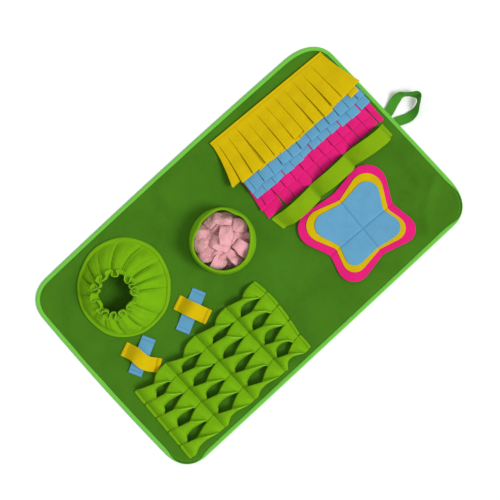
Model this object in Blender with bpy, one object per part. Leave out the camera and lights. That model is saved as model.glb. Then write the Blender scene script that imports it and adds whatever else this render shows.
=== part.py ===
"""Enrichment mat for dogs, in which treats are hidden: a bound cloth mat with felt sewn on it.

Metres, +Z up. The origin is the middle of the mat's underside, which lies on z = 0.
+X runs along the mat towards the hanging loop, +Y towards the edge beside the fringes.
"""

import math
import random
from collections import namedtuple

import bmesh
import bpy
from mathutils import Vector

# Cloths, and the play between pieces that touch
MAT_THICKNESS = 0.003
FELT = 0.0018
TAPE = 0.0010
GAP = 0.0003
SEWN = MAT_THICKNESS + GAP

# The mat's outline: four corners, counter-clockwise, and the four edges that follow them
Corner = namedtuple("Corner", "side_x side_y reach_x reach_y radius_x radius_y")
CORNERS = (
    Corner(1, 1, 0.498, 0.301, 0.110, 0.078),
    Corner(-1, 1, 0.495, 0.300, 0.080, 0.078),
    Corner(-1, -1, 0.499, 0.302, 0.075, 0.080),
    Corner(1, -1, 0.501, 0.302, 0.075, 0.095),
)
Edge = namedtuple("Edge", "bow points")
EDGES = (Edge(0.004, 9), Edge(0.004, 5), Edge(0.001, 9), Edge(0.001, 5))
CORNER_STEPS = 8
CORNER_FULLNESS = 2.3

# The binding: a tape folded round the mat's edge
BINDING_WIDTH = 0.012
BINDING_HEIGHT = 0.004
BINDING_ROUND = 0.0005
EDGE_STEP = 0.0015
STEP_PLAY = 0.0004

# Soft folds in the mat: where each ridge starts and ends, its height and half width
Fold = namedtuple("Fold", "x1 y1 x2 y2 height half_width")
FOLDS = (
    Fold(0.400, -0.272, 0.474, -0.196, 0.0030, 0.034),
    Fold(0.452, -0.100, 0.440, -0.180, 0.0024, 0.030),
)
MAT_RINGS = (0.95, 0.90, 0.84, 0.70, 0.45)

# Fringes: two tiers of strips cut from a header, drawn down over the next fringe
STRIPS = 12
SLIT = 0.0012
TIER_GAP = 0.0005
TIER_STEP = FELT + TIER_GAP
TIP_UNEVEN = 0.002
SHIFT_UNEVEN = 0.0004
LEAST_LIFT = 0.3
REAR_LIFT = 0.15
MOST_ROLL = 0.3
STRIP_SWAY = 1.4
STRIP_TAPER = 0.06
LAST_STOP = 0.004
Level = namedtuple("Level", "y z")
Tip = namedtuple("Tip", "x shift front rear")
Fringe = namedtuple("Fringe", "colour left right top_left top_right levels tips rear_shift lift seed")
FRINGES = (
    Fringe(
        "yellow", 0.112, 0.478, 0.272, 0.2525,
        (Level(0.243, SEWN), Level(0.216, 0.0078), Level(0.201, 0.0084), Level(0.173, 0.0128),
         Level(0.146, 0.0130)),
        (Tip(0.112, -0.030, 0.146, 0.140), Tip(0.143, -0.012, 0.136, 0.134),
         Tip(0.200, -0.008, 0.133, 0.131), Tip(0.278, -0.006, 0.124, 0.126),
         Tip(0.294, -0.005, 0.138, 0.140), Tip(0.310, -0.005, 0.124, 0.126),
         Tip(0.400, -0.004, 0.120, 0.122), Tip(0.445, 0.002, 0.126, 0.112),
         Tip(0.478, 0.018, 0.127, 0.124)),
        0.004, 0.0040, 3,
    ),
    Fringe(
        "blue", 0.110, 0.483, 0.214, 0.214,
        (Level(0.199, SEWN), Level(0.172, 0.0078), Level(0.109, 0.0078)),
        (Tip(0.110, -0.004, 0.106, 0.086), Tip(0.200, -0.006, 0.099, 0.085),
         Tip(0.300, -0.004, 0.100, 0.080), Tip(0.400, -0.002, 0.097, 0.075),
         Tip(0.483, 0.002, 0.098, 0.070)),
        0.007, 0.0014, 5,
    ),
    Fringe(
        "pink", 0.107, 0.480, 0.165, 0.165,
        (Level(0.151, SEWN), Level(0.070, SEWN)),
        (Tip(0.107, -0.013, 0.054, 0.031), Tip(0.200, -0.004, 0.058, 0.031),
         Tip(0.300, -0.002, 0.055, 0.030), Tip(0.400, 0.000, 0.052, 0.029),
         Tip(0.480, 0.003, 0.054, 0.028)),
        0.006, 0.0014, 8,
    ),
)

# Loop ribbon: seams across it, and the shape of the arch between two seams
RIBBON_Y = 0.002
RIBBON_WIDTH = 0.043
RIBBON_SEAMS = (0.103, 0.228, 0.345, 0.470)
RIBBON_END = 0.008
RIBBON_RISE = 0.023
Arch = namedtuple("Arch", "along up")
RIBBON_ARCH = (
    Arch(0.04, 0.05), Arch(0.13, 0.42), Arch(0.30, 0.80), Arch(0.50, 0.97), Arch(0.68, 1.00),
    Arch(0.84, 0.86), Arch(0.95, 0.46), Arch(0.975, 0.10),
)

# Butterfly: three felt layers, each with four round wings and a notch before each wing
Wing = namedtuple("Wing", "x y radius notch_x notch_y")
BUTTERFLY = {
    "pink": (
        Wing(0.165, -0.070, 0.048, 0.255, -0.035), Wing(0.172, -0.200, 0.042, 0.144, -0.145),
        Wing(0.320, -0.215, 0.037, 0.245, -0.232), Wing(0.335, -0.075, 0.051, 0.350, -0.153),
    ),
    "yellow": (
        Wing(0.166, -0.070, 0.027, 0.257, -0.057), Wing(0.175, -0.198, 0.024, 0.165, -0.140),
        Wing(0.316, -0.212, 0.020, 0.250, -0.215), Wing(0.332, -0.077, 0.030, 0.332, -0.160),
    ),
    "blue": (
        Wing(0.172, -0.078, 0.016, 0.258, -0.065), Wing(0.182, -0.192, 0.014, 0.178, -0.145),
        Wing(0.308, -0.204, 0.012, 0.250, -0.208), Wing(0.326, -0.084, 0.018, 0.324, -0.152),
    ),
}
WING_STEPS = 9

# Crossed straps: the line of each in plan, its width and the rise of its arch
Strap = namedtuple("Strap", "name colour width rise line")
STRAPS = (
    Strap("strap_blue_a", "blue", 0.035, 0.007, ((-0.421, -0.030), (-0.376, -0.008), (-0.332, 0.014))),
    Strap(
        "strap_yellow_a", "yellow", 0.037, 0.020,
        ((-0.393, 0.040), (-0.388, 0.014), (-0.388, -0.009), (-0.378, -0.031), (-0.358, -0.051)),
    ),
    Strap("strap_blue_b", "blue", 0.036, 0.007, ((-0.261, -0.032), (-0.210, -0.008), (-0.159, 0.016))),
    Strap(
        "strap_yellow_b", "yellow", 0.039, 0.019, ((-0.221, 0.033), (-0.205, -0.008), (-0.188, -0.050))
    ),
)
STRAP_HEM = 0.011
STRAP_STEPS = 10
STRAP_ARCH = 1.2

# Felt grid: sewn down along its seams, slit between them, each strip stood up between seams
GRID_SEAMS = (-0.457, -0.344, -0.243, -0.139, -0.042)
GRID_EDGES = (-0.280, -0.237, -0.192, -0.146, -0.102, -0.060)
GRID_STEPS = (0.0, 0.13, 0.27, 0.41, 0.55, 0.70, 0.87)
GRID_ACROSS = 2
GRID_TILT = math.radians(68)
GRID_CREASE = 0.20
GRID_PEAK = 1.6
GRID_HEEL = 0.009
GRID_SLIT = 0.002

# Gathered pocket: its profile from the sewn rim to the lip of its mouth
POCKET_RIM = Vector((-0.290, 0.152))
POCKET_MOUTH = Vector((-0.322, 0.158))
POCKET_PLEATS = 16
POCKET_TURN = 0.5
Wave = namedtuple("Wave", "count depth start")
PLEATS_UNEVEN = (Wave(3, 0.25, 1.0), Wave(5, 0.20, 0.0))
MOUTH_OVAL = Wave(2, 0.003, 0.8)
RUFFLE_RISE = 0.3
Round = namedtuple("Round", "radius height pleat ruffle")
POCKET_PROFILE = (
    Round(0.1205, 0.000, 0.0, 0.0), Round(0.1160, 0.004, 0.0, 0.0), Round(0.1105, 0.001, 0.0, 0.0),
    Round(0.0980, 0.015, 0.4, 0.0), Round(0.0800, 0.033, 1.0, 0.0), Round(0.0650, 0.045, 0.9, 0.2),
    Round(0.0620, 0.053, 0.0, 1.0), Round(0.0510, 0.056, 0.0, 0.6), Round(0.0450, 0.048, 0.0, 0.2),
)
PLEAT_DEPTH = 0.0035
RUFFLE_DEPTH = 0.0045
POCKET_COLUMNS = 64
POCKET_TOP = 0.056

# Cup of felt, and how far its rim is pushed in or out on each side
CUP_CENTRE = Vector((-0.030, 0.072))
CUP_RADIUS = 0.079
CUP_HEIGHT = 0.057
CUP_FLARE = 0.003
CUP_COLUMNS = 40
Section = namedtuple("Section", "offset height")
CUP_SECTION = (
    Section(0.0, 0.000), Section(0.0, 0.030), Section(0.0, 0.051), Section(0.0015, 0.0545),
    Section(0.0, CUP_HEIGHT), Section(-0.0035, CUP_HEIGHT), Section(-0.0050, 0.0545),
    Section(-0.0030, 0.050), Section(-0.0030, 0.030), Section(-0.0030, 0.000),
)
Dent = namedtuple("Dent", "degrees width depth")
CUP_DENTS = (Dent(128, 42, 0.012), Dent(32, 34, 0.008), Dent(80, 26, -0.004), Dent(250, 60, -0.003))

CUP_WAVE = Wave(3, 0.0015, 0.6)

# Fleece in the cup: locks on a round backing, each one rising and hooking over
Backing = namedtuple("Backing", "radius height")
FLEECE_BACKING = Backing(0.070, 0.006)
FLEECE_SEED = 11
Locks = namedtuple("Locks", "count radius scale turn")
FLEECE_LOCKS = (Locks(1, 0.0, 1.10, 0.0), Locks(6, 0.0285, 1.05, 0.0), Locks(12, 0.0560, 0.92, 0.5))
Hook = namedtuple("Hook", "along up")
FLEECE_HOOK = (
    Hook(-0.006, -0.002), Hook(-0.007, 0.018), Hook(-0.005, 0.031), Hook(0.001, 0.037),
    Hook(0.007, 0.032), Hook(0.009, 0.019),
)
LOCK_WIDTH = 0.020
LOCK_THICKNESS = 0.005
LOCK_SWING = math.radians(20)
LOCK_LEAST = 0.92
LOCK_MOST = 1.05

# Hanging loop of tape: its line, and how far the tape is rolled on its edge
Bend = namedtuple("Bend", "x y z roll")
LOOP_BENDS = (
    Bend(0.5010, 0.030, 0.0020, 0), Bend(0.5060, 0.030, 0.0023, 0), Bend(0.5200, 0.034, 0.0045, 12),
    Bend(0.5420, 0.040, 0.0120, 48),
    Bend(0.5640, 0.034, 0.0135, 80), Bend(0.5810, 0.022, 0.0135, 84), Bend(0.5925, 0.007, 0.0135, 86),
    Bend(0.5850, -0.004, 0.0135, 84), Bend(0.5680, -0.009, 0.0135, 76), Bend(0.5480, -0.015, 0.0100, 42),
    Bend(0.5250, -0.018, 0.0045, 12), Bend(0.5070, -0.015, 0.0023, 0), Bend(0.5013, -0.015, 0.0020, 0),
)
LOOP_WIDTH = 0.025
LOOP_TAPE = 0.0015

Finish = namedtuple("Finish", "colour roughness")
FINISHES = {
    "dark_green": Finish((0.060, 0.195, 0.013), 0.90),
    "light_green": Finish((0.190, 0.450, 0.010), 0.92),
    "yellow": Finish((0.760, 0.600, 0.010), 0.92),
    "blue": Finish((0.130, 0.390, 0.650), 0.92),
    "pink": Finish((0.800, 0.020, 0.200), 0.92),
    "pale_pink": Finish((0.820, 0.480, 0.500), 0.95),
}


class Skin:
    """The points and faces of one closed solid, added ring by ring."""

    def __init__(self):
        self.points = []
        self.faces = []

    def ring(self, points):
        """Adds points and returns their numbers."""
        start = len(self.points)
        self.points += [Vector(point) for point in points]
        return list(range(start, len(self.points)))

    def join(self, first, second, closed=True):
        """Fills the band between two rings of the same count."""
        for index in range(len(first) if closed else len(first) - 1):
            after = (index + 1) % len(first)
            self.faces.append((first[index], first[after], second[after], second[index]))

    def cap(self, ring):
        self.faces.append(tuple(ring))


def finish_material(name):
    """The Principled material of one finish, made once."""
    material = bpy.data.materials.get(name)
    if material:
        return material
    material = bpy.data.materials.new(name)
    material.use_nodes = True
    shader = material.node_tree.nodes["Principled BSDF"]
    shader.inputs["Base Color"].default_value = (*FINISHES[name].colour, 1.0)
    shader.inputs["Roughness"].default_value = FINISHES[name].roughness
    shader.inputs["Metallic"].default_value = 0.0
    return material


def add_object(name, points, faces, finish):
    """Makes a mesh object with its faces turned outwards."""
    mesh = bpy.data.meshes.new(name)
    mesh.from_pydata([tuple(point) for point in points], [], faces)
    work = bmesh.new()
    work.from_mesh(mesh)
    bmesh.ops.recalc_face_normals(work, faces=work.faces)
    work.to_mesh(mesh)
    work.free()
    mesh.shade_smooth()
    mesh.set_sharp_from_angle(angle=math.radians(40))
    mesh.materials.append(finish_material(finish))
    made = bpy.data.objects.new(name, mesh)
    bpy.context.collection.objects.link(made)
    return made


def corner_point(corner, degrees):
    angle = math.radians(degrees)
    full_x = abs(math.cos(angle)) ** (2 / CORNER_FULLNESS)
    full_y = abs(math.sin(angle)) ** (2 / CORNER_FULLNESS)
    x = corner.side_x * (corner.reach_x - corner.radius_x * (1 - full_x))
    y = corner.side_y * (corner.reach_y - corner.radius_y * (1 - full_y))
    return Vector((x, y))


def mat_outline():
    """The mat's outline, counter-clockwise from the right-hand end of the long +Y edge."""
    points = []
    for index, (corner, edge) in enumerate(zip(CORNERS, EDGES)):
        start_angle = 90 * index
        for step in range(CORNER_STEPS + 1):
            points.append(corner_point(corner, start_angle + 90 * step / CORNER_STEPS))
        start = points[-1]
        end = corner_point(CORNERS[(index + 1) % len(CORNERS)], start_angle + 90)
        along = (end - start).normalized()
        outwards = Vector((along.y, -along.x))
        for step in range(1, edge.points + 1):
            share = step / (edge.points + 1)
            points.append(start.lerp(end, share) + outwards * edge.bow * 4 * share * (1 - share))
    return points


def inset(points, distance):
    """The outline moved inwards by a distance, square to itself."""
    moved = []
    for index, point in enumerate(points):
        along = (points[(index + 1) % len(points)] - points[index - 1]).normalized()
        moved.append(point + Vector((-along.y, along.x)) * distance)
    return moved


def distance_to_ridge(point, fold):
    start = Vector((fold.x1, fold.y1))
    run = Vector((fold.x2, fold.y2)) - start
    share = max(0.0, min(1.0, (point - start).dot(run) / run.length_squared))
    return (point - start - run * share).length


def fold_height(point):
    """How far the mat's soft folds lift it off the floor at a point in plan."""
    height = 0.0
    for fold in FOLDS:
        nearness = max(0.0, 1 - (distance_to_ridge(point, fold) / fold.half_width) ** 2)
        height = max(height, fold.height * nearness**2)
    return height


def build_mat_base():
    outline = mat_outline()
    pressed = (BINDING_HEIGHT - MAT_THICKNESS) + GAP
    pressed_top = BINDING_HEIGHT - TAPE - GAP
    step_start = BINDING_WIDTH + STEP_PLAY
    inner = inset(outline, step_start + EDGE_STEP)
    skin = Skin()
    lower = []
    upper = []
    for points, bottom, top in (
        (inset(outline, TAPE + GAP), pressed, pressed_top),
        (inset(outline, step_start), pressed, pressed_top),
        (inner, 0.0, MAT_THICKNESS),
    ):
        lower.append(skin.ring([(p.x, p.y, bottom) for p in points]))
        upper.append(skin.ring([(p.x, p.y, top) for p in points]))
    for share in MAT_RINGS:
        points = [point * share for point in inner]
        lower.append(skin.ring([(p.x, p.y, fold_height(p)) for p in points]))
        upper.append(skin.ring([(p.x, p.y, fold_height(p) + MAT_THICKNESS) for p in points]))
    for side in (lower, upper):
        for outer_ring, inner_ring in zip(side, side[1:]):
            skin.join(outer_ring, inner_ring)
        skin.cap(side[-1])
    skin.join(lower[0], upper[0])
    return add_object("mat_base", skin.points, skin.faces, "dark_green")


def build_edge_binding():
    outline = mat_outline()
    top = BINDING_HEIGHT
    profile = (
        (BINDING_WIDTH, 0.0), (BINDING_ROUND, 0.0), (0.0, BINDING_ROUND), (0.0, top - BINDING_ROUND),
        (BINDING_ROUND, top), (BINDING_WIDTH, top), (BINDING_WIDTH, top - TAPE), (TAPE, top - TAPE),
        (TAPE, TAPE), (BINDING_WIDTH, TAPE),
    )
    skin = Skin()
    rings = []
    for distance, height in profile:
        rings.append(skin.ring([(p.x, p.y, height) for p in inset(outline, distance)]))
    for index, ring in enumerate(rings):
        skin.join(ring, rings[(index + 1) % len(rings)])
    return add_object("edge_binding", skin.points, skin.faces, "light_green")


def between(rows, key, wanted, value):
    """Reads a table of rows at a place between two of them, in a straight line."""
    ordered = sorted(rows, key=lambda row: getattr(row, key))
    if wanted <= getattr(ordered[0], key):
        return getattr(ordered[0], value)
    for first, second in zip(ordered, ordered[1:]):
        low, high = getattr(first, key), getattr(second, key)
        if wanted <= high:
            share = (wanted - low) / (high - low)
            return getattr(first, value) * (1 - share) + getattr(second, value) * share
    return getattr(ordered[-1], value)


def fringe_header(skin, fringe, heights):
    """Adds the header's box and returns the numbers of its front face, column by column."""
    pitch = (fringe.right - fringe.left) / STRIPS
    columns = []
    for index in range(STRIPS):
        start = fringe.left + index * pitch
        columns += [start + SLIT / 2, start + pitch - SLIT / 2]
    front_y = fringe.levels[0].y
    slope = (fringe.top_right - fringe.top_left) / (fringe.right - fringe.left)
    front = []
    back = []
    for x in columns:
        back_y = fringe.top_left + slope * (x - fringe.left)
        front.append(skin.ring([(x, front_y, z) for z in heights]))
        back.append(skin.ring([(x, back_y, z) for z in heights]))
    last = len(heights) - 1
    for index in range(len(columns) - 1):
        after = index + 1
        skin.cap((front[index][last], front[after][last], back[after][last], back[index][last]))
        skin.cap((front[index][0], front[after][0], back[after][0], back[index][0]))
        skin.join(back[index], back[after], closed=False)
        for row in range(last):
            is_strip = index % 2 == 0 and row % 2 == 0
            if not is_strip:
                near, far = front[index], front[after]
                skin.cap((near[row], far[row], far[row + 1], near[row + 1]))
    skin.join(front[0], back[0], closed=False)
    skin.join(front[-1], back[-1], closed=False)
    return front


def add_strip(skin, fringe, tier, root, left, right, rng):
    """Adds one strip of a fringe from its root on the header to its tip."""
    centre = (left + right) / 2
    width = right - left
    tip_y = between(fringe.tips, "x", centre, tier) + rng.uniform(-TIP_UNEVEN, TIP_UNEVEN)
    shift = between(fringe.tips, "x", centre, "shift") + rng.uniform(-SHIFT_UNEVEN, SHIFT_UNEVEN)
    if tier == "rear":
        shift += fringe.rear_shift
    is_front = tier == "front"
    floor = TIER_STEP if is_front else 0.0
    lift = fringe.lift * (rng.uniform(LEAST_LIFT, 1.0) if is_front else REAR_LIFT)
    roll = lift * rng.uniform(-MOST_ROLL, MOST_ROLL)
    start_y = fringe.levels[0].y
    stops = [level.y for level in fringe.levels[1:] if level.y > tip_y + LAST_STOP] + [tip_y]
    ring = root
    for y in stops:
        share = (start_y - y) / (start_y - tip_y)
        x = centre + shift * share**STRIP_SWAY
        half = width / 2 * (1 - STRIP_TAPER * share)
        z = between(fringe.levels, "y", y, "z") + floor
        raised = lift if y == tip_y else 0.0
        turned = roll if y == tip_y else 0.0
        low_left = z + raised - turned
        low_right = z + raised + turned
        corners = (
            (x - half, y, low_left), (x + half, y, low_right),
            (x + half, y, low_right + FELT), (x - half, y, low_left + FELT),
        )
        following = skin.ring(corners)
        skin.join(ring, following)
        ring = following
    skin.cap(ring)


def build_fringe(fringe):
    rng = random.Random(fringe.seed)
    base = fringe.levels[0].z
    heights = (base, base + FELT, base + TIER_STEP, base + TIER_STEP + FELT)
    skin = Skin()
    front = fringe_header(skin, fringe, heights)
    for tier, row in (("rear", 0), ("front", 2)):
        for index in range(0, 2 * STRIPS, 2):
            left, right = front[index], front[index + 1]
            root = [left[row], right[row], right[row + 1], left[row + 1]]
            x_left, x_right = skin.points[left[0]].x, skin.points[right[0]].x
            add_strip(skin, fringe, tier, root, x_left, x_right, rng)
    return add_object("fringe_" + fringe.colour, skin.points, skin.faces, fringe.colour)


def build_band(name, line, sides, thickness, finish):
    """A flat band along a line of points, with the two edge points at sides from each."""
    skin = Skin()
    rings = []
    for index, (point, side) in enumerate(zip(line, sides)):
        before = line[max(index - 1, 0)]
        after = line[min(index + 1, len(line) - 1)]
        up = side.cross(after - before).normalized() * thickness / 2
        corners = (point - side - up, point + side - up, point + side + up, point - side + up)
        rings.append(skin.ring(corners))
    for ring, following in zip(rings, rings[1:]):
        skin.join(ring, following)
    skin.cap(rings[0])
    skin.cap(rings[-1])
    return add_object(name, skin.points, skin.faces, finish)


def build_loop_ribbon():
    rest = SEWN + FELT / 2
    line = [Vector((RIBBON_SEAMS[0] - RIBBON_END, RIBBON_Y, rest))]
    for start, end in zip(RIBBON_SEAMS, RIBBON_SEAMS[1:]):
        line.append(Vector((start, RIBBON_Y, rest)))
        for arch in RIBBON_ARCH:
            x = start + (end - start) * arch.along
            line.append(Vector((x, RIBBON_Y, rest + RIBBON_RISE * arch.up)))
    line.append(Vector((RIBBON_SEAMS[-1], RIBBON_Y, rest)))
    line.append(Vector((RIBBON_SEAMS[-1] + RIBBON_END, RIBBON_Y, rest)))
    sides = [Vector((0, RIBBON_WIDTH / 2, 0))] * len(line)
    return build_band("loop_ribbon", line, sides, FELT, "light_green")


def butterfly_outline(wings):
    """Arcs round the wings, joined by straight tangents to the notches between them."""
    points = []
    for index, wing in enumerate(wings):
        following = wings[(index + 1) % len(wings)]
        centre = Vector((wing.x, wing.y))
        before = Vector((wing.notch_x, wing.notch_y)) - centre
        after = Vector((following.notch_x, following.notch_y)) - centre
        start = math.atan2(before.y, before.x) + math.acos(wing.radius / before.length)
        end = math.atan2(after.y, after.x) - math.acos(wing.radius / after.length)
        while end < start:
            end += 2 * math.pi
        points.append(Vector((wing.notch_x, wing.notch_y)))
        for step in range(WING_STEPS + 1):
            angle = start + (end - start) * step / WING_STEPS
            points.append(centre + Vector((math.cos(angle), math.sin(angle))) * wing.radius)
    return points


def build_butterfly_layer(colour, order):
    bottom = SEWN + order * (FELT + GAP)
    outline = butterfly_outline(BUTTERFLY[colour])
    skin = Skin()
    lower = skin.ring([(p.x, p.y, bottom) for p in outline])
    upper = skin.ring([(p.x, p.y, bottom + FELT) for p in outline])
    skin.join(lower, upper)
    skin.cap(lower)
    skin.cap(upper)
    return add_object("butterfly_" + colour, skin.points, skin.faces, colour)


def line_at(line, share):
    """A point and heading on the smooth curve through a line's points in plan."""
    points = [Vector(point) for point in line]
    points = [points[0] * 2 - points[1], *points, points[-1] * 2 - points[-2]]
    along = share * (len(line) - 1)
    piece = min(int(along), len(line) - 2)
    part = along - piece
    before, start, end, after = points[piece:piece + 4]
    leave = (end - before) / 2
    arrive = (after - start) / 2
    bend = start * 2 - end * 2 + leave + arrive
    swing = (end - start) * 3 - leave * 2 - arrive
    point = start + leave * part + swing * part**2 + bend * part**3
    heading = leave + swing * 2 * part + bend * 3 * part**2
    return point, heading.normalized()


def build_strap(strap):
    """A felt strap whose ends are turned under, arched between its two sewn hems."""
    length = sum((Vector(end) - Vector(start)).length for start, end in zip(strap.line, strap.line[1:]))
    hem = STRAP_HEM / length
    low = SEWN + FELT / 2
    high = low + FELT + GAP
    stations = [(hem, low), (0.0, low), (0.0, high), (hem, high)]
    for step in range(1, STRAP_STEPS):
        share = step / STRAP_STEPS
        rise = strap.rise * math.sin(math.pi * share) ** STRAP_ARCH
        stations.append((hem + (1 - 2 * hem) * share, high + rise))
    stations += [(1 - hem, high), (1.0, high), (1.0, low), (1 - hem, low)]
    line = []
    sides = []
    for share, height in stations:
        point, heading = line_at(strap.line, share)
        line.append(Vector((point.x, point.y, height)))
        sides.append(Vector((-heading.y, heading.x, 0)) * strap.width / 2)
    return build_band(strap.name, line, sides, FELT, strap.colour)


def grid_columns():
    """Every column of the felt grid: its x, and how far it is through its slit, 0 to 1."""
    open_from, open_to = GRID_STEPS[1], GRID_STEPS[-1]
    columns = []
    for start, end in zip(GRID_SEAMS, GRID_SEAMS[1:]):
        for step in GRID_STEPS:
            through = (step - open_from) / (open_to - open_from)
            columns.append((start + (end - start) * step, max(0.0, min(1.0, through))))
    columns.append((GRID_SEAMS[-1], 0.0))
    return columns


def grid_point(x, through, low_y, high_y, share):
    """A point of a strip, from its heel at share 0 to its raised edge at share 1."""
    rest = SEWN + FELT / 2
    is_open = 0.0 < through < 1.0
    if not is_open:
        return Vector((x, low_y + (high_y - low_y) * share, rest))
    shifted = through + GRID_CREASE * (share - 0.5) * math.sin(math.pi * through)
    swell = 1 - abs(1 - 2 * shifted) ** GRID_PEAK
    tilt = GRID_TILT * swell
    heel = low_y + GRID_SLIT / 2 + GRID_HEEL * math.sin(math.pi * through)
    reach = (high_y - low_y - GRID_SLIT) * share
    return Vector((x, heel + reach * math.cos(tilt), rest + reach * math.sin(tilt)))


def build_felt_grid():
    """One felt panel. Strips share their points at the seams and part at the slits."""
    columns = grid_columns()
    strips = list(zip(GRID_EDGES, GRID_EDGES[1:]))
    numbers = {}
    points = []
    faces = []

    def number(strip, row, column):
        x, through = columns[column]
        is_shared = row == 0 and strip > 0 and through in (0.0, 1.0)
        key = (strip - 1, GRID_ACROSS, column) if is_shared else (strip, row, column)
        if key not in numbers:
            low_y, high_y = strips[strip]
            numbers[key] = len(points)
            points.append(grid_point(x, through, low_y, high_y, row / GRID_ACROSS))
        return numbers[key]

    for strip in range(len(strips)):
        for row in range(GRID_ACROSS):
            for column in range(len(columns) - 1):
                faces.append((
                    number(strip, row, column), number(strip, row, column + 1),
                    number(strip, row + 1, column + 1), number(strip, row + 1, column),
                ))
    made = add_object("felt_grid", points, faces, "light_green")
    thick = made.modifiers.new("felt", "SOLIDIFY")
    thick.thickness = FELT
    thick.offset = 0.0
    return made


def wave_at(wave, angle):
    return wave.depth * math.sin(wave.count * angle + wave.start)


def build_gathered_pocket():
    """A pleated dome of cloth, sewn at its rim and gathered to an open mouth."""
    sheet = []
    rest = SEWN + FELT / 2
    for stage in POCKET_PROFILE:
        centre = POCKET_RIM.lerp(POCKET_MOUTH, stage.height / POCKET_TOP)
        row = []
        for column in range(POCKET_COLUMNS):
            angle = 2 * math.pi * column / POCKET_COLUMNS
            pleat = math.sin(POCKET_PLEATS * angle + POCKET_TURN * math.pi * stage.height / POCKET_TOP)
            uneven = 1 + sum(wave_at(wave, angle) for wave in PLEATS_UNEVEN)
            ruffle = math.cos(POCKET_PLEATS * angle) * uneven
            radius = stage.radius + RUFFLE_DEPTH * stage.ruffle * ruffle
            radius += wave_at(MOUTH_OVAL, angle) * (stage.ruffle > 0)
            height = rest + stage.height + PLEAT_DEPTH * stage.pleat * pleat * uneven
            height += RUFFLE_RISE * RUFFLE_DEPTH * stage.ruffle * pleat
            plan = centre + Vector((math.cos(angle), math.sin(angle))) * radius
            row.append(Vector((plan.x, plan.y, height)))
        sheet.append(row)
    points = [point for row in sheet for point in row]
    faces = []
    for row in range(len(sheet) - 1):
        for column in range(POCKET_COLUMNS):
            after = (column + 1) % POCKET_COLUMNS
            first, second = row * POCKET_COLUMNS, (row + 1) * POCKET_COLUMNS
            faces.append((first + column, first + after, second + after, second + column))
    made = add_object("gathered_pocket", points, faces, "light_green")
    thick = made.modifiers.new("felt", "SOLIDIFY")
    thick.thickness = FELT
    thick.offset = 0.0
    return made


def cup_push(angle, height):
    """How far the cup's wall is pushed inwards, most at the rim."""
    push = 0.0
    for dent in CUP_DENTS:
        away = math.remainder(math.degrees(angle) - dent.degrees, 360)
        push += dent.depth * math.exp(-((away / dent.width) ** 2) * 2)
    return push * (height / CUP_HEIGHT) ** 2


def build_cup_wall():
    skin = Skin()
    rings = []
    for section in CUP_SECTION:
        ring = []
        for column in range(CUP_COLUMNS):
            angle = 2 * math.pi * column / CUP_COLUMNS
            flare = CUP_FLARE * section.height / CUP_HEIGHT
            radius = CUP_RADIUS + section.offset + flare - cup_push(angle, section.height)
            wave = wave_at(CUP_WAVE, angle) * (section.height / CUP_HEIGHT)
            plan = CUP_CENTRE + Vector((math.cos(angle), math.sin(angle))) * radius
            ring.append((plan.x, plan.y, SEWN + section.height + wave))
        rings.append(skin.ring(ring))
    for index, ring in enumerate(rings):
        skin.join(ring, rings[(index + 1) % len(rings)])
    return add_object("cup_wall", skin.points, skin.faces, "light_green")


def add_lock(skin, centre, heading, scale):
    """Adds one 4-sided lock of fleece that rises from the backing and hooks over."""
    forward = Vector((math.cos(heading), math.sin(heading), 0))
    side = Vector((-forward.y, forward.x, 0)) * LOCK_WIDTH / 2
    base = Vector((centre.x, centre.y, SEWN + FLEECE_BACKING.height))
    line = [base + forward * hook.along + Vector((0, 0, hook.up * scale)) for hook in FLEECE_HOOK]
    rings = []
    for index, point in enumerate(line):
        along = line[min(index + 1, len(line) - 1)] - line[max(index - 1, 0)]
        across = side.cross(along).normalized() * LOCK_THICKNESS / 2
        low, high = point - across, point + across
        corners = (low - side, low + side, high + side, high - side)
        rings.append(skin.ring(corners))
    for ring, following in zip(rings, rings[1:]):
        skin.join(ring, following)
    skin.cap(rings[0])
    skin.cap(rings[-1])


def build_cup_fleece():
    rng = random.Random(FLEECE_SEED)
    skin = Skin()
    for locks in FLEECE_LOCKS:
        for index in range(locks.count):
            angle = 2 * math.pi * (index + locks.turn) / locks.count
            centre = CUP_CENTRE + Vector((math.cos(angle), math.sin(angle))) * locks.radius
            heading = angle + math.pi / 2 + rng.uniform(-LOCK_SWING, LOCK_SWING)
            add_lock(skin, centre, heading, locks.scale * rng.uniform(LOCK_LEAST, LOCK_MOST))
    locks_object = add_object("cup_fleece", skin.points, skin.faces, "pale_pink")
    backing = Skin()
    rings = []
    for height in (0.0, FLEECE_BACKING.height):
        circle = []
        for column in range(CUP_COLUMNS):
            angle = 2 * math.pi * column / CUP_COLUMNS
            plan = CUP_CENTRE + Vector((math.cos(angle), math.sin(angle))) * FLEECE_BACKING.radius
            circle.append((plan.x, plan.y, SEWN + height))
        rings.append(backing.ring(circle))
        backing.cap(rings[-1])
    backing.join(rings[0], rings[1])
    disc = add_object("fleece_backing", backing.points, backing.faces, "pale_pink")
    disc.hide_render = True
    disc.display_type = "WIRE"
    union = locks_object.modifiers.new("backing", "BOOLEAN")
    union.operation = "UNION"
    union.object = disc
    return locks_object


def build_hanging_loop():
    line = [Vector((bend.x, bend.y, bend.z)) for bend in LOOP_BENDS]
    sides = []
    for index, bend in enumerate(LOOP_BENDS):
        along = line[min(index + 1, len(line) - 1)] - line[max(index - 1, 0)]
        flat = Vector((-along.y, along.x, 0)).normalized()
        roll = math.radians(bend.roll)
        sides.append((flat * math.cos(roll) + Vector((0, 0, 1)) * math.sin(roll)) * LOOP_WIDTH / 2)
    return build_band("hanging_loop", line, sides, LOOP_TAPE, "light_green")


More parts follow.
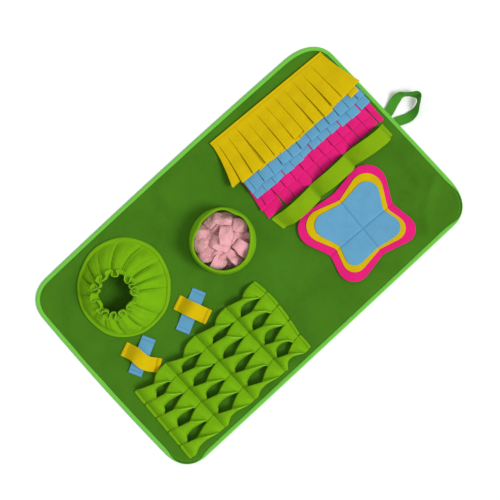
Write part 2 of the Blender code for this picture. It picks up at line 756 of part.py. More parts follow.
def main():
    for old in list(bpy.data.objects):
        bpy.data.objects.remove(old)
    build_mat_base()
    build_edge_binding()
    build_hanging_loop()
    for fringe in FRINGES:
        build_fringe(fringe)
    build_loop_ribbon()
    for order, colour in enumerate(("pink", "yellow", "blue")):
        build_butterfly_layer(colour, order)
    for strap in STRAPS:
        build_strap(strap)
    build_felt_grid()
    build_gathered_pocket()
    build_cup_wall()
    build_cup_fleece()


main()
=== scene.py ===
"""The dog enrichment mat as it looks: bound cloth, felt fringes, straps, slits, pocket and cup.

Metres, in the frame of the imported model. Every piece stands where its solid stands.
"""

import math
import random
from collections import namedtuple

import bmesh
import bpy
from mathutils import Matrix, Vector, noise


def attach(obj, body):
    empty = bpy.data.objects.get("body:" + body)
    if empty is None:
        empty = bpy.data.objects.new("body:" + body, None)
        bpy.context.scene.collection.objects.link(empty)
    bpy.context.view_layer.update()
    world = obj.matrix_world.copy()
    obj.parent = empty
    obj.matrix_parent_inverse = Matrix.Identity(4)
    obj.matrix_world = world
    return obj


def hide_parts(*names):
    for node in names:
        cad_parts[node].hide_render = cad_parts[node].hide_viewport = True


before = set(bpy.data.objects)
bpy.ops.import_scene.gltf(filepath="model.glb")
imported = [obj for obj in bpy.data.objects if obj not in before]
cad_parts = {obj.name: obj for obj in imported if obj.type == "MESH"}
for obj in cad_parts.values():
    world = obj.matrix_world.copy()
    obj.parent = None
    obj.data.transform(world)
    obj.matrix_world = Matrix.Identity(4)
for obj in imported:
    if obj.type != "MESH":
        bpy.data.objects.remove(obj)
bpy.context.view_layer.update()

# Cloths, and the play between pieces that touch
MAT = 0.003
FELT = 0.0018
TAPE = 0.0010
GAP = 0.0003
SEWN = MAT + GAP
REST = SEWN + FELT / 2
CUT_EDGE = 0.0005
SEAM_IN = 0.002
FELT_WELD = 0.00002
NO_LENGTH = 1e-9
CLOTH_WELD = 0.00001
UP = Vector((0, 0, 1))

# A ripple's height or share, the layer of noise it is read in, and the length of its waves
Wave = namedtuple("Wave", "height layer size")
# A sine wave round a ring, in so many lobes, turned by an angle
Lobe = namedtuple("Lobe", "height count turn")
Section = namedtuple("Section", "offset height")

# The mat's outline: four corners, counter-clockwise, and the four edges that follow them
Corner = namedtuple("Corner", "side_x side_y reach_x reach_y radius_x radius_y")
CORNERS = (
    Corner(1, 1, 0.498, 0.301, 0.110, 0.078),
    Corner(-1, 1, 0.495, 0.300, 0.080, 0.078),
    Corner(-1, -1, 0.499, 0.302, 0.075, 0.080),
    Corner(1, -1, 0.501, 0.302, 0.075, 0.095),
)
Edge = namedtuple("Edge", "bow points")
EDGES = (Edge(0.004, 90), Edge(0.004, 50), Edge(0.001, 90), Edge(0.001, 50))
CORNER_STEPS = 22
CORNER_FULLNESS = 2.3
OUTLINE_POINTS = 360

# The binding and the mat's cloth inside it
BINDING_WIDTH = 0.0106
BINDING_TOP = 0.0035
STITCH_INSET = 0.0087
STITCH_DIP = 0.0008
BINDING_PROFILE = (
    Section(BINDING_WIDTH, BINDING_TOP), Section(STITCH_INSET + STITCH_DIP, BINDING_TOP - 0.0001),
    Section(STITCH_INSET, BINDING_TOP - 0.0003), Section(STITCH_INSET - STITCH_DIP, BINDING_TOP),
    Section(0.0065, 0.0039), Section(0.0035, 0.0039), Section(0.0018, 0.0036), Section(0.0008, 0.0029),
    Section(0.0005, 0.0020), Section(0.0008, 0.0011), Section(0.0018, 0.0006), Section(0.0060, 0.0005),
    Section(BINDING_WIDTH, 0.0005),
)
BINDING_SIDE = 0.0025
BINDING_TURN = 0.004
BINDING_PUFF = Wave(0.00025, 2.0, 0.009)
BINDING_SWAY = Wave(0.0008, 9.0, 0.070)
PUFF_WIDTH = 0.010
PRESSED = 0.0014
PRESSED_CLOTH = 0.0012
PRESSED_RINGS = (0.0015, BINDING_WIDTH + 0.0004)
FREE_FROM = BINDING_WIDTH + 0.0032
FREE_EASE = 0.010
Tuck = namedtuple("Tuck", "x y reach share")
TUCKED_CORNERS = (Tuck(-0.474, -0.281, 0.050, 0.84), Tuck(0.478, -0.275, 0.056, 0.80))
MAT_RINGS = 46
WRINKLES = (Wave(0.00084, 0.0, 0.070), Wave(0.00036, 3.0, 0.024))
PUCKER = Wave(0.0004, 5.0, 0.011)
PUCKER_REACH = 0.012
Fold = namedtuple("Fold", "x1 y1 x2 y2 height half_width")
FOLDS = (
    Fold(0.366, -0.268, 0.404, -0.220, 0.0062, 0.016), Fold(0.404, -0.220, 0.472, -0.180, 0.0074, 0.018),
    Fold(0.452, -0.090, 0.440, -0.160, 0.0050, 0.022), Fold(0.060, 0.268, 0.096, 0.236, 0.0026, 0.016),
    Fold(0.398, -0.120, 0.418, -0.205, 0.0036, 0.020), Fold(-0.250, -0.005, -0.130, 0.060, 0.0022, 0.028),
    Fold(-0.200, 0.230, -0.110, 0.160, 0.0024, 0.026), Fold(0.020, -0.110, 0.060, -0.230, 0.0022, 0.026),
)
# Where felt is sewn on the mat the cloth lies flat: centre, half sizes
Area = namedtuple("Area", "x y half_x half_y")
SEWN_AREAS = (
    Area(0.295, 0.150, 0.200, 0.125), Area(0.285, 0.002, 0.195, 0.025), Area(0.248, -0.140, 0.115, 0.108),
    Area(-0.248, -0.170, 0.220, 0.116), Area(-0.290, 0.152, 0.120, 0.120), Area(-0.030, 0.072, 0.084, 0.084),
    Area(-0.376, -0.010, 0.050, 0.052), Area(-0.210, -0.010, 0.058, 0.050),
)
SEWN_FADE = 0.045

# Fringes: two tiers of strips cut from a header, drawn down over the next fringe.
# The strips lie close, each tilted to its neighbour, and a few slits stand open.
STRIP_PITCH = 0.031
SLIT_PLAY = 0.0005
TIER_STEP = FELT + 0.0012
Tier = namedtuple("Tier", "floor tilt lift wave bow most_shift seed")
TIERS = {
    "rear": Tier(0.0, 0.0004, 0.25, 0.00016, 0.0002, 0.003, 40),
    "front": Tier(TIER_STEP, 0.0014, 1.0, 0.0008, 0.0009, 1.0, 0),
}
TIP_PLAY = 0.0025
LIFT_PLAY = (0.15, 1.0)
TILT_PLAY = (0.7, 1.5)
STRIP_SKEW = 0.002
SKEW_FULL = 0.012
STRIP_WAVES = 5
BOW_EASE = 2
SLIT_EASED = 5
SHIFT_CURVE = 1.4
HEADER_STITCH = 0.006
HEADER_GROOVE = 0.0010
GROOVE_WIDTH = 0.0013
Level = namedtuple("Level", "y z")
Tip = namedtuple("Tip", "x shift front rear")
Opening = namedtuple("Opening", "x width late", defaults=(1,))
Fringe = namedtuple(
    "Fringe",
    "colour left right top_left top_right levels tips slit_front slit_rear open lift lean_from seed",
)
FRINGES = (
    Fringe(
        "yellow", 0.112, 0.478, 0.272, 0.2545,
        (
            Level(0.243, SEWN), Level(0.216, 0.0078), Level(0.201, 0.0090), Level(0.173, 0.0150),
            Level(0.146, 0.0160),
        ),
        (
            Tip(0.112, -0.035, 0.154, 0.156), Tip(0.1245, -0.023, 0.152, 0.152),
            Tip(0.130, -0.020, 0.144, 0.146), Tip(0.171, -0.015, 0.136, 0.137),
            Tip(0.186, -0.011, 0.136, 0.135), Tip(0.218, -0.008, 0.136, 0.133),
            Tip(0.265, -0.006, 0.130, 0.128), Tip(0.295, -0.005, 0.133, 0.124),
            Tip(0.325, -0.005, 0.124, 0.125), Tip(0.395, -0.004, 0.122, 0.124),
            Tip(0.420, -0.001, 0.129, 0.127), Tip(0.440, 0.002, 0.130, 0.127),
            Tip(0.455, 0.004, 0.131, 0.114), Tip(0.478, 0.020, 0.135, 0.114),
        ),
        0.125, 0.140,
        (
            Opening(0.187, 0.0085), Opening(0.218, 0.0022), Opening(0.342, 0.0042), Opening(0.373, 0.0048),
            Opening(0.404, 0.0050),
        ),
        0.0040, 0.05, 3,
    ),
    Fringe(
        "blue", 0.110, 0.483, 0.214, 0.214,
        (Level(0.199, SEWN), Level(0.172, 0.0086), Level(0.109, 0.0092)),
        (
            Tip(0.110, -0.006, 0.104, 0.090), Tip(0.125, -0.006, 0.104, 0.087),
            Tip(0.200, -0.006, 0.100, 0.085), Tip(0.245, -0.005, 0.103, 0.080),
            Tip(0.320, -0.004, 0.100, 0.083), Tip(0.400, -0.002, 0.099, 0.075),
            Tip(0.483, 0.002, 0.096, 0.073),
        ),
        0.123, 0.141,
        (
            Opening(0.123, 0.0012), Opening(0.247, 0.0020), Opening(0.340, 0.0016), Opening(0.402, 0.0020),
            Opening(0.464, 0.0016), Opening(0.203, 0.0030), Opening(0.296, 0.0036), Opening(0.389, 0.0034),
            Opening(0.451, 0.0040),
        ),
        0.0030, 0.50, 5,
    ),
    Fringe(
        "pink", 0.107, 0.480, 0.165, 0.165,
        (Level(0.151, SEWN), Level(0.070, SEWN)),
        (
            Tip(0.107, -0.015, 0.056, 0.031), Tip(0.150, -0.008, 0.060, 0.027),
            Tip(0.200, -0.005, 0.058, 0.026), Tip(0.300, -0.002, 0.055, 0.024),
            Tip(0.400, 0.000, 0.052, 0.023), Tip(0.480, 0.001, 0.050, 0.017),
        ),
        0.122, 0.154,
        (
            Opening(0.184, 0.0020), Opening(0.246, 0.0014), Opening(0.401, 0.0018), Opening(0.463, 0.0030),
            Opening(0.154, 0.0088, 5), Opening(0.278, 0.0014),
        ),
        0.0026, 0.62, 8,
    ),
)
HEADER_PARTS = (0.0, 0.0012, 0.0045, 0.0053, 0.0060, 0.0067, 0.0076, 0.0100)
STRIP_ROWS = 22
STRIP_COLUMNS = 6

# Loop ribbon: seams across it, and the shape of the arch between two seams
RIBBON_Y = 0.002
RIBBON_WIDTH = 0.043
RIBBON_SEAMS = (0.103, 0.228, 0.345, 0.470)
RIBBON_END = 0.008
RIBBON_SKEW = 0.17
RIBBON_SHIFT = 0.004
RIBBON_SKEWED = 0.035
RIBBON_DRAWN = Vector((-0.008, -0.009, 0.0))
RIBBON_RISE = 0.029
RIBBON_LEAN = 0.0052
RIBBON_DRAWN_IN = 0.10
RIBBON_STEPS = 190
RIBBON_SWAY = Wave(0.0016, 1.0, 0.06)
RIBBON_TWIST = Wave(0.10, 4.0, 0.08)
RIBBON_TWISTS_FROM = 0.010
RIBBON_DROOPS_FROM = 0.008
EDGE_DROOP = 0.0012
BAND_COLUMNS = 8
Arch = namedtuple("Arch", "along up")
RIBBON_ARCH = (
    Arch(0.03, 0.05), Arch(0.09, 0.24), Arch(0.18, 0.50), Arch(0.29, 0.76), Arch(0.42, 0.94),
    Arch(0.58, 1.00), Arch(0.76, 0.94), Arch(0.90, 0.72), Arch(0.965, 0.38), Arch(0.985, 0.08),
)

# Butterfly: three felt layers, each with four round wings and a notch before each wing
Wing = namedtuple("Wing", "x y radius notch_x notch_y")
BUTTERFLY = {
    "pink": (
        Wing(0.165, -0.070, 0.048, 0.255, -0.035), Wing(0.171, -0.202, 0.043, 0.144, -0.145),
        Wing(0.322, -0.217, 0.037, 0.245, -0.232), Wing(0.335, -0.075, 0.051, 0.350, -0.153),
    ),
    "yellow": (
        Wing(0.180, -0.0745, 0.0412, 0.2555, -0.0572), Wing(0.181, -0.194, 0.031, 0.166, -0.142),
        Wing(0.308, -0.201, 0.032, 0.248, -0.217), Wing(0.325, -0.083, 0.0418, 0.331, -0.157),
    ),
    "blue": (
        Wing(0.189, -0.082, 0.0315, 0.254, -0.0668), Wing(0.189, -0.186, 0.025, 0.178, -0.143),
        Wing(0.3025, -0.1925, 0.028, 0.242, -0.210), Wing(0.318, -0.092, 0.0318, 0.321, -0.149),
    ),
}
WING_STEPS = 30
BUTTERFLY_POINTS = 340
BUTTERFLY_RINGS = 56
BUTTERFLY_CENTRE = Vector((0.249, -0.141))
BUTTERFLY_SEAMS = (((0.256, -0.036), (0.245, -0.231)), ((0.146, -0.144), (0.349, -0.153)))
BUTTERFLY_ROUNDS = 9
BUTTERFLY_REACH = 0.09
BUTTERFLY_LIFT = 0.0042
LIFT_LEVEL = 0.55
LIFT_WAVE = Wave(0.45, 2.0, 0.060)
Layer = namedtuple("Layer", "colour reach")
BUTTERFLY_LAYERS = (Layer("pink", 1.0), Layer("yellow", 0.078), Layer("blue", 0.066))
BUTTERFLY_RUN = 80
SEAM_WIDTH = 0.0026
SEAM_DEPTH = 0.0023

# Crossed straps: the line of each in plan, its width and the rise of its arch
Strap = namedtuple("Strap", "name colour width rise line")
STRAPS = (
    Strap("strap_blue_a", "blue", 0.035, 0.007, ((-0.421, -0.030), (-0.376, -0.008), (-0.332, 0.014))),
    Strap(
        "strap_yellow_a", "yellow", 0.037, 0.020,
        ((-0.3975, 0.0370), (-0.3855, 0.0070), (-0.3800, -0.0270), (-0.3590, -0.0570)),
    ),
    Strap("strap_blue_b", "blue", 0.036, 0.007, ((-0.261, -0.032), (-0.210, -0.008), (-0.159, 0.016))),
    Strap(
        "strap_yellow_b", "yellow", 0.039, 0.019, ((-0.221, 0.033), (-0.205, -0.008), (-0.188, -0.050))
    ),
)
STRAP_HEM = 0.011
FOLDED = FELT + GAP
Hem = namedtuple("Hem", "along up")
STRAP_FOLD = (
    Hem(1.0, 0.0), Hem(0.5, 0.0), Hem(0.12, 0.0), Hem(0.0, FOLDED / 2), Hem(0.12, FOLDED),
    Hem(0.45, FOLDED + 0.0008), Hem(0.78, FOLDED - 0.0004), Hem(0.90, FOLDED - 0.0013),
)
STRAP_STITCH = 0.86
STRAP_DROOPS_FROM = 0.006
STRAP_ARCH = 1.2
STRAP_STEPS = 44

# Felt grid: seams, slits, and the peak of each strip's raised edge, row by row from the top
GRID_SEAMS = (-0.457, -0.344, -0.243, -0.139, -0.042)
GridEnd = namedtuple("GridEnd", "y left right")
GRID_ENDS = (
    GridEnd(-0.280, -0.4545, -0.0565), GridEnd(-0.237, -0.4525, -0.0545), GridEnd(-0.192, -0.4505, -0.0480),
    GridEnd(-0.146, -0.4485, -0.0425), GridEnd(-0.102, -0.4465, -0.0415), GridEnd(-0.060, -0.4445, -0.0475),
)
Slit = namedtuple("Slit", "start end")
GRID_CUTS = (
    (Slit(0.30, 0.80), Slit(0.14, 0.84), Slit(0.18, 0.92), Slit(0.11, 0.84)),
    (Slit(0.19, 0.84), Slit(0.12, 0.92), Slit(0.11, 0.86), Slit(0.09, 0.76)),
    (Slit(0.22, 0.82), Slit(0.15, 0.82), Slit(0.09, 0.80), Slit(0.08, 0.87)),
    (Slit(0.14, 0.82), Slit(0.12, 0.84), Slit(0.09, 0.80), Slit(0.11, 0.76)),
)
SLIT_EASE = 0.07
GRID_SLITS = tuple(end.y for end in reversed(GRID_ENDS))
Peak = namedtuple("Peak", "x y")
GRID_PEAKS = (
    (Peak(-0.399, -0.079), Peak(-0.302, -0.081), Peak(-0.190, -0.076), Peak(-0.095, -0.073)),
    (Peak(-0.396, -0.115), Peak(-0.298, -0.118), Peak(-0.188, -0.113), Peak(-0.098, -0.113)),
    (Peak(-0.407, -0.159), Peak(-0.302, -0.164), Peak(-0.205, -0.162), Peak(-0.103, -0.158)),
    (Peak(-0.397, -0.208), Peak(-0.300, -0.206), Peak(-0.211, -0.207), Peak(-0.110, -0.206)),
    (Peak(-0.412, -0.251), Peak(-0.300, -0.257), Peak(-0.198, -0.259), Peak(-0.104, -0.252)),
)
GRID_PARTS = (
    0.0, 0.02, 0.05, 0.09, 0.14, 0.20, 0.27, 0.34, 0.42, 0.50, 0.58, 0.66, 0.74, 0.81, 0.87, 0.92,
    0.965, 1.0,
)
GRID_ROWS = 12
GRID_PEAK_HEIGHT = 0.024
PEAK_LEVEL = 0.8
PEAK_REACH = 0.016
GRID_FOOT = Arch(0.82, 0.0060)
GRID_FOOT_IN = 0.0015
GRID_HEEL = 0.013
HEEL_CURVE = 1.5
GRID_SWELL = 0.012
GRID_SWELL_UP = 0.85
GRID_SWELL_OVER = 0.30
GRID_RIPPLE = Wave(0.0012, 3.0, 0.016)
RIPPLE_EASE = 3
RISING_SWEEP = 0.95
FREE_SWEEP = 3.4
INNER_SWEEP = 1.9
RISING_FACET = (
    Arch(0.0, 0.0), Arch(0.03, 0.11), Arch(0.08, 0.24), Arch(0.16, 0.48), Arch(0.30, 0.74),
    Arch(0.50, 0.90), Arch(0.75, 0.98), Arch(0.93, 1.02), Arch(1.0, 1.0),
)
FALLING_FACET = (
    Arch(0.0, 1.0), Arch(0.035, 0.72), Arch(0.10, 0.44), Arch(0.20, 0.42),
    Arch(0.35, 0.50), Arch(0.52, 0.52),
    Arch(0.70, 0.42), Arch(0.84, 0.24), Arch(0.93, 0.13), Arch(0.97, 0.10), Arch(1.0, 0.0),
)
HEEL_SHAPE = (
    Arch(0.0, -0.02), Arch(0.06, -0.14), Arch(0.10, -0.20), Arch(0.14, 0.06), Arch(0.20, 0.52),
    Arch(0.28, 0.88), Arch(0.37, 1.0), Arch(0.46, 0.96), Arch(0.56, 0.74), Arch(0.66, 0.40),
    Arch(0.75, 0.12), Arch(0.83, -0.08), Arch(0.92, -0.06), Arch(1.0, 0.0),
)
HEEL_BY_CELL = (0.66, 0.78, 0.62, 1.15)
GRID_HEM = 0.0085
GRID_HEM_FOLD = (
    Section(0.002, 0.0004), Section(0.0, 0.0016), Section(0.004, 0.0030), Section(0.0072, 0.0024),
    Section(GRID_HEM, 0.0006),
)
GRID_HEM_STEPS = 16
GRID_HEM_IN = 0.001
GRID_HEM_ENDS = 0.02
GRID_HEM_WAVE = Wave(0.0014, 2.0, 0.030)
GRID_HEM_ROUND = 0.0022

# Gathered pocket: its profile from the sewn rim over the dome to the edge of the frill
POCKET_RIM = Vector((-0.2915, 0.1500))
POCKET_MOUTH = Vector((-0.3200, 0.1490))
POCKET_PLEATS = 14
POCKET_FRILLS = 12
POCKET_TOP = 0.056
POCKET_COLUMNS = 420
POCKET_OVAL = 0.0042
POCKET_OVAL_TURN = math.radians(42)
POCKET_LOBES = (Lobe(0.0006, 5, 1), Lobe(0.0005, 9, 0))
POCKET_WARP = (Lobe(0.10, 3, 1), Lobe(0.05, 5, 2))
POCKET_UNEVEN = (Lobe(0.35, 3, 1), Lobe(0.25, 7, 0))
POCKET_STEPS = 90
Stage = namedtuple("Stage", "radius height pleat frill")
POCKET_PROFILE = (
    Stage(0.1190, 0.0000, 0.0, 0.0), Stage(0.1205, 0.0016, 0.0, 0.0), Stage(0.1190, 0.0042, 0.0, 0.0),
    Stage(0.1155, 0.0052, 0.0, 0.0), Stage(0.1118, 0.0036, 0.05, 0.0), Stage(0.1080, 0.0066, 0.40, 0.0),
    Stage(0.1010, 0.0150, 0.80, 0.0), Stage(0.0920, 0.0245, 1.00, 0.0), Stage(0.0810, 0.0330, 1.05, 0.0),
    Stage(0.0710, 0.0395, 1.05, 0.0), Stage(0.0620, 0.0435, 1.00, 0.0), Stage(0.0540, 0.0455, 0.80, 0.05),
    Stage(0.0480, 0.0460, 0.50, 0.15), Stage(0.0450, 0.0480, 0.2, 0.30), Stage(0.0455, 0.0515, 0.0, 0.55),
    Stage(0.0490, 0.0550, 0.0, 0.85), Stage(0.0530, 0.0570, 0.0, 1.0),
)
POCKET_SEAM = POCKET_PROFILE[4]
POCKET_SEAM_COLUMNS = 4
POCKET_NOISE = Wave(0.0007, 0.05, 0.012)
POCKET_NOISE_RING = 0.1
POCKET_NOISE_LEAST = 0.3
PLEAT_DEPTH = 0.0145
PLEAT_LEAST = 0.15
PLEAT_CREASE = 0.36
FINE_PLEAT = 0.15
FINE_CREASE = 0.6
FINE_TURN = 0.9
PLEAT_SPIRAL = -0.6
PLEAT_LEAN = 2.4
FRILL_SWING = 0.0095
FRILL_LEVEL = 0.62
FRILL_CURL = 0.0046
FRILL_SLANT = (Lobe(0.0050, 3, 0.4),)
FRILL_SIDE_UP = 0.0026
FRILL_OUT_DOWN = 0.0035
FRILL_ROUND = 0.6

# Cup of felt: its section, and how far its wall is pushed in or out on each side
CUP_CENTRE = Vector((-0.0315, 0.0675))
CUP_RADIUS = 0.0845
CUP_HEIGHT = 0.057
CUP_TAPER = 0.0035
CUP_COLUMNS = 200
CUP_STEPS = 64
CUP_WAVE = (Lobe(0.0016, 3, 0.6),)
CUP_BUCKLE = 0.0012
CUP_BUCKLE_RING = 0.08
CUP_BUCKLE_SIZE = 0.030
CUP_STITCH = 0.046
CUP_STITCH_IN = 0.0004
CUP_STITCH_COLUMNS = 2
CUP_SECTION = (
    Section(0.0, 0.0), Section(0.0012, 0.010), Section(0.0014, 0.025), Section(0.0006, 0.040),
    Section(-0.0004, 0.0460), Section(0.0008, 0.0490), Section(0.0011, 0.0530), Section(0.0002, 0.0564),
    Section(-0.0016, 0.0577), Section(-0.0038, 0.0574), Section(-0.0056, 0.0548), Section(-0.0056, 0.0495),
    Section(-0.0034, 0.0460), Section(-0.0030, 0.0400), Section(-0.0030, 0.0200), Section(-0.0030, 0.0),
)
Dent = namedtuple("Dent", "degrees width depth")
CUP_DENTS = (
    Dent(116, 36, 0.0105), Dent(78, 28, 0.0060), Dent(24, 20, 0.0060), Dent(-46, 56, 0.0095),
    Dent(205, 24, 0.0015),
)

# Fleece: crumpled strips that fill the cup
FLEECE_LENGTH = 0.062
FLEECE_WIDTH = 0.036
FLEECE_THICKNESS = 0.0026
FLEECE_TOP = 0.049
FLEECE_FOLDS = 4
FLEECE_STEEP = 0.44
FleeceRing = namedtuple("FleeceRing", "count radius turn drop")
FLEECE_RINGS = (
    FleeceRing(10, 0.054, 0.2, 0.008), FleeceRing(7, 0.034, 0.6, 0.002), FleeceRing(2, 0.012, 0.1, -0.002),
    FleeceRing(6, 0.044, 0.9, 0.015),
)
FLEECE_SEED = 21
FLEECE_TURN_PLAY = 0.2
FLEECE_TILT = 0.25
FLEECE_ROLL = 0.35
FLEECE_SINK = 0.007
FLEECE_CREASE_REACH = 0.012
FLEECE_CREASES = (-0.55, 0.8, 1.1)
FLEECE_HALF_ROWS = 12
FLEECE_HALF_COLUMNS = 9
FLEECE_GATHERED = 0.40
FLEECE_NARROWED = 0.25
FLEECE_ENDS_DOWN = 0.010
FLEECE_UP = 0.004
FLEECE_RIPPLE = Wave(0.0012, 900, 0.010)
FLEECE_CLEAR = 0.0085
FLEECE_CROWDED = 0.8
FLEECE_FOOT = 0.004
# The heap of fleece under the strips
HEAP_RADIUS = 0.076
HEAP_RISE = 0.022
HEAP_FOOT = 0.006
HEAP_RINGS = (1.0, 0.92, 0.8, 0.6, 0.4, 0.2)
HEAP_COLUMNS = 72
HEAP_RIPPLE = Wave(0.006, 0.0, 0.02)

# Hanging loop of tape: its line, and how far the tape is rolled on its edge
Bend = namedtuple("Bend", "x y z roll")
LOOP_BENDS = (
    Bend(0.4955, 0.0225, 0.0027, 0), Bend(0.5030, 0.0235, 0.0027, 0), Bend(0.5170, 0.0280, 0.0030, 2),
    Bend(0.5330, 0.0335, 0.0044, 8), Bend(0.5480, 0.0345, 0.0104, 36), Bend(0.5600, 0.0290, 0.0146, 72),
    Bend(0.5730, 0.0190, 0.0148, 74), Bend(0.5850, 0.0060, 0.0134, 56), Bend(0.5790, -0.0060, 0.0148, 78),
    Bend(0.5640, -0.0150, 0.0146, 70), Bend(0.5480, -0.0210, 0.0100, 36), Bend(0.5330, -0.0215, 0.0048, 10),
    Bend(0.5180, -0.0165, 0.0032, 2), Bend(0.5040, -0.0100, 0.0027, 0), Bend(0.4960, -0.0090, 0.0027, 0),
)
LOOP_WIDTH = 0.0250
LOOP_TAPE = 0.0013
LOOP_STEPS = 110
LOOP_COLUMNS = 10

# Colours of the cloths, and of the thread on each
COLOURS = {
    "mat": (0.057, 0.183, 0.010),
    "binding": (0.180, 0.620, 0.060),
    "loop": (0.060, 0.310, 0.014),
    "green": (0.180, 0.425, 0.004),
    "lime": (0.235, 0.430, 0.004),
    "yellow": (0.670, 0.478, 0.001),
    "blue": (0.130, 0.370, 0.580),
    "pink": (0.800, 0.014, 0.200),
    "fleece": (0.840, 0.440, 0.475),
}
FLEECE_DEEP = (0.66, 0.27, 0.30)
FLEECE_SHEEN = (1.0, 0.86, 0.86)
# A much darker copy of each felt, drawn on the grid beside its seams: painted shade of the seam grooves,
# partly also the felt pressed dense there
SEAM_SHADE_TONE = 0.45
# Thread drawn at half its felt's tone: partly a darker thread, partly painted shade of the stitched groove
# along each seam
THREAD_SHADE_TONE = 0.5
STITCH_LENGTH = 0.0027
STITCH_GAP = 0.0015
STITCH_RADIUS = 0.00032
STITCH_ROUND = ((1.0, 0.0), (0.6, 0.8), (-0.6, 0.8), (-1.0, 0.0))
STITCH_SHAPE = ((0.0, -0.7, 0.6), (0.22, 0.0, 1.0), (0.78, 0.0, 1.0), (1.0, -0.7, 0.6))
STITCH_BEDDED = 0.0001
BINDING_RUN = 24

# Camera, floor and light
CAMERA_PLACE = (-0.12984, -0.02351, 2.78148)
CAMERA_TURN = (math.radians(2.28766), math.radians(-1.63835), math.radians(-42.69512))
CAMERA_LENS = 79.2
CAMERA_SENSOR = 36.0
CAMERA_CLIP = (0.05, 50.0)
FLOOR_HALF = 6.0
FLOOR_DROP = 0.0004
FLOOR_TONE = (0.93, 0.93, 0.93, 1.0)
WHITE = (1.0, 1.0, 1.0, 1.0)
WORLD_STRENGTH = 0.65
KEY_FROM = (0.50, -0.85, 1.12)
KEY_STRENGTH = 2.05
KEY_SPREAD = math.radians(22)


def smooth(share):
    """Eases from 0 to 1."""
    share = max(0.0, min(1.0, share))
    return share * share * (3 - 2 * share)


def table_at(rows, key, wanted, value):
    """Reads a table of rows at a place between two of them, in a straight line."""
    ordered = sorted(rows, key=lambda row: getattr(row, key))
    if wanted <= getattr(ordered[0], key):
        return getattr(ordered[0], value)
    for first, second in zip(ordered, ordered[1:]):
        low, high = getattr(first, key), getattr(second, key)
        if wanted <= high:
            share = (wanted - low) / (high - low)
            return getattr(first, value) * (1 - share) + getattr(second, value) * share
    return getattr(ordered[-1], value)


def curve_at(points, share):
    """A point and heading on the smooth curve through points, share 0 to 1."""
    points = [Vector(point) for point in points]
    spans = len(points) - 1
    points = [points[0] * 2 - points[1], *points, points[-1] * 2 - points[-2]]
    along = max(0.0, min(1.0, share)) * spans
    piece = min(int(along), spans - 1)
    part = along - piece
    before, start, end, after = points[piece:piece + 4]
    leave = (end - before) / 2
    arrive = (after - start) / 2
    bend = start * 2 - end * 2 + leave + arrive
    swing = (end - start) * 3 - leave * 2 - arrive
    point = start + leave * part + swing * part**2 + bend * part**3
    heading = leave + swing * 2 * part + bend * 3 * part**2
    return point, heading.normalized()


def ripple(x, y, z, size):
    """Smooth noise from -1 to 1, with waves about as long as size."""
    return noise.noise(Vector((x, y, z)) / size)


def rippled(wave, x, y):
    """A wave's height at a place."""
    return wave.height * ripple(x, y, wave.layer, wave.size)


def on_circle(angle, radius, centre=Vector((0.0, 0.0))):
    return centre + Vector((math.cos(angle), math.sin(angle))) * radius


def placed(name, data):
    """Puts an object with this data in the scene."""
    made = bpy.data.objects.new(name, data)
    bpy.context.scene.collection.objects.link(made)
    return made


class Cloth:
    """The surfaces of one piece, with a flat map in metres: x across the rows, y from row to row."""

    def __init__(self):
        self.points = []
        self.faces = []
        self.flats = []
        self.finishes = []

    def add(self, rows, wrap=False, pale=(), pressed=()):
        start = len(self.points)
        count = len(rows[0])
        middle_row = rows[len(rows) // 2]
        middle_column = [row[count // 2] for row in rows]
        if wrap:
            middle_row = [*middle_row, middle_row[0]]
        across = self.measured(middle_row)
        down = self.measured(middle_column)
        for row in rows:
            self.points += [tuple(point) for point in row]
        for row in range(len(rows) - 1):
            for column in range(count if wrap else count - 1):
                after = (column + 1) % count
                first = start + row * count
                second = first + count
                self.faces.append((first + column, first + after, second + after, second + column))
                left, right = across[column], across[column + 1]
                self.flats += [
                    (left, down[row]), (right, down[row]), (right, down[row + 1]), (left, down[row + 1]),
                ]
                # Pale columns take the second finish, a painted highlight; pressed columns take the third,
                # painted shade beside a seam
                self.finishes.append(1 if column in pale else 2 if column in pressed else 0)

    @staticmethod
    def measured(line):
        lengths = [0.0]
        for before, after in zip(line, line[1:]):
            lengths.append(lengths[-1] + (Vector(after) - Vector(before)).length)
        return lengths

    def fan(self, ring, centre):
        """Fills a ring of points with triangles to its centre."""
        start = len(self.points)
        self.points += [tuple(point) for point in ring]
        self.points.append(tuple(centre))
        for index in range(len(ring)):
            after = (index + 1) % len(ring)
            corners = (start + index, start + after, start + len(ring))
            self.faces.append(corners)
            self.flats += [self.points[corner][:2] for corner in corners]
            self.finishes.append(0)

    def piece(self, name, node, slot, finishes, thickness=0.0, weld=0.0):
        """Makes the object, gives it its cloth, and sets it in its node's place."""
        mesh = bpy.data.meshes.new(name)
        mesh.from_pydata(self.points, [], self.faces)
        flat = mesh.uv_layers.new(name="flat")
        flat.uv.foreach_set("vector", [value for pair in self.flats for value in pair])
        mesh.polygons.foreach_set("material_index", self.finishes)
        if weld:
            work = bmesh.new()
            work.from_mesh(mesh)
            bmesh.ops.remove_doubles(work, verts=work.verts, dist=weld)
            bmesh.ops.recalc_face_normals(work, faces=work.faces)
            work.to_mesh(mesh)
            work.free()
        mesh.shade_smooth()
        for finish in finishes:
            mesh.materials.append(finish)
        made = placed(name, mesh)
        if thickness:
            solid = made.modifiers.new("thickness", "SOLIDIFY")
            solid.thickness = thickness
            solid.offset = 0.0
            solid.use_rim = True
            # Rims take the next finish: the paler copy, a painted highlight along the felt's cut edges
            solid.material_offset_rim = 1 if len(finishes) > 1 else 0
        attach(made, "root")
        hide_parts(node)
        return made


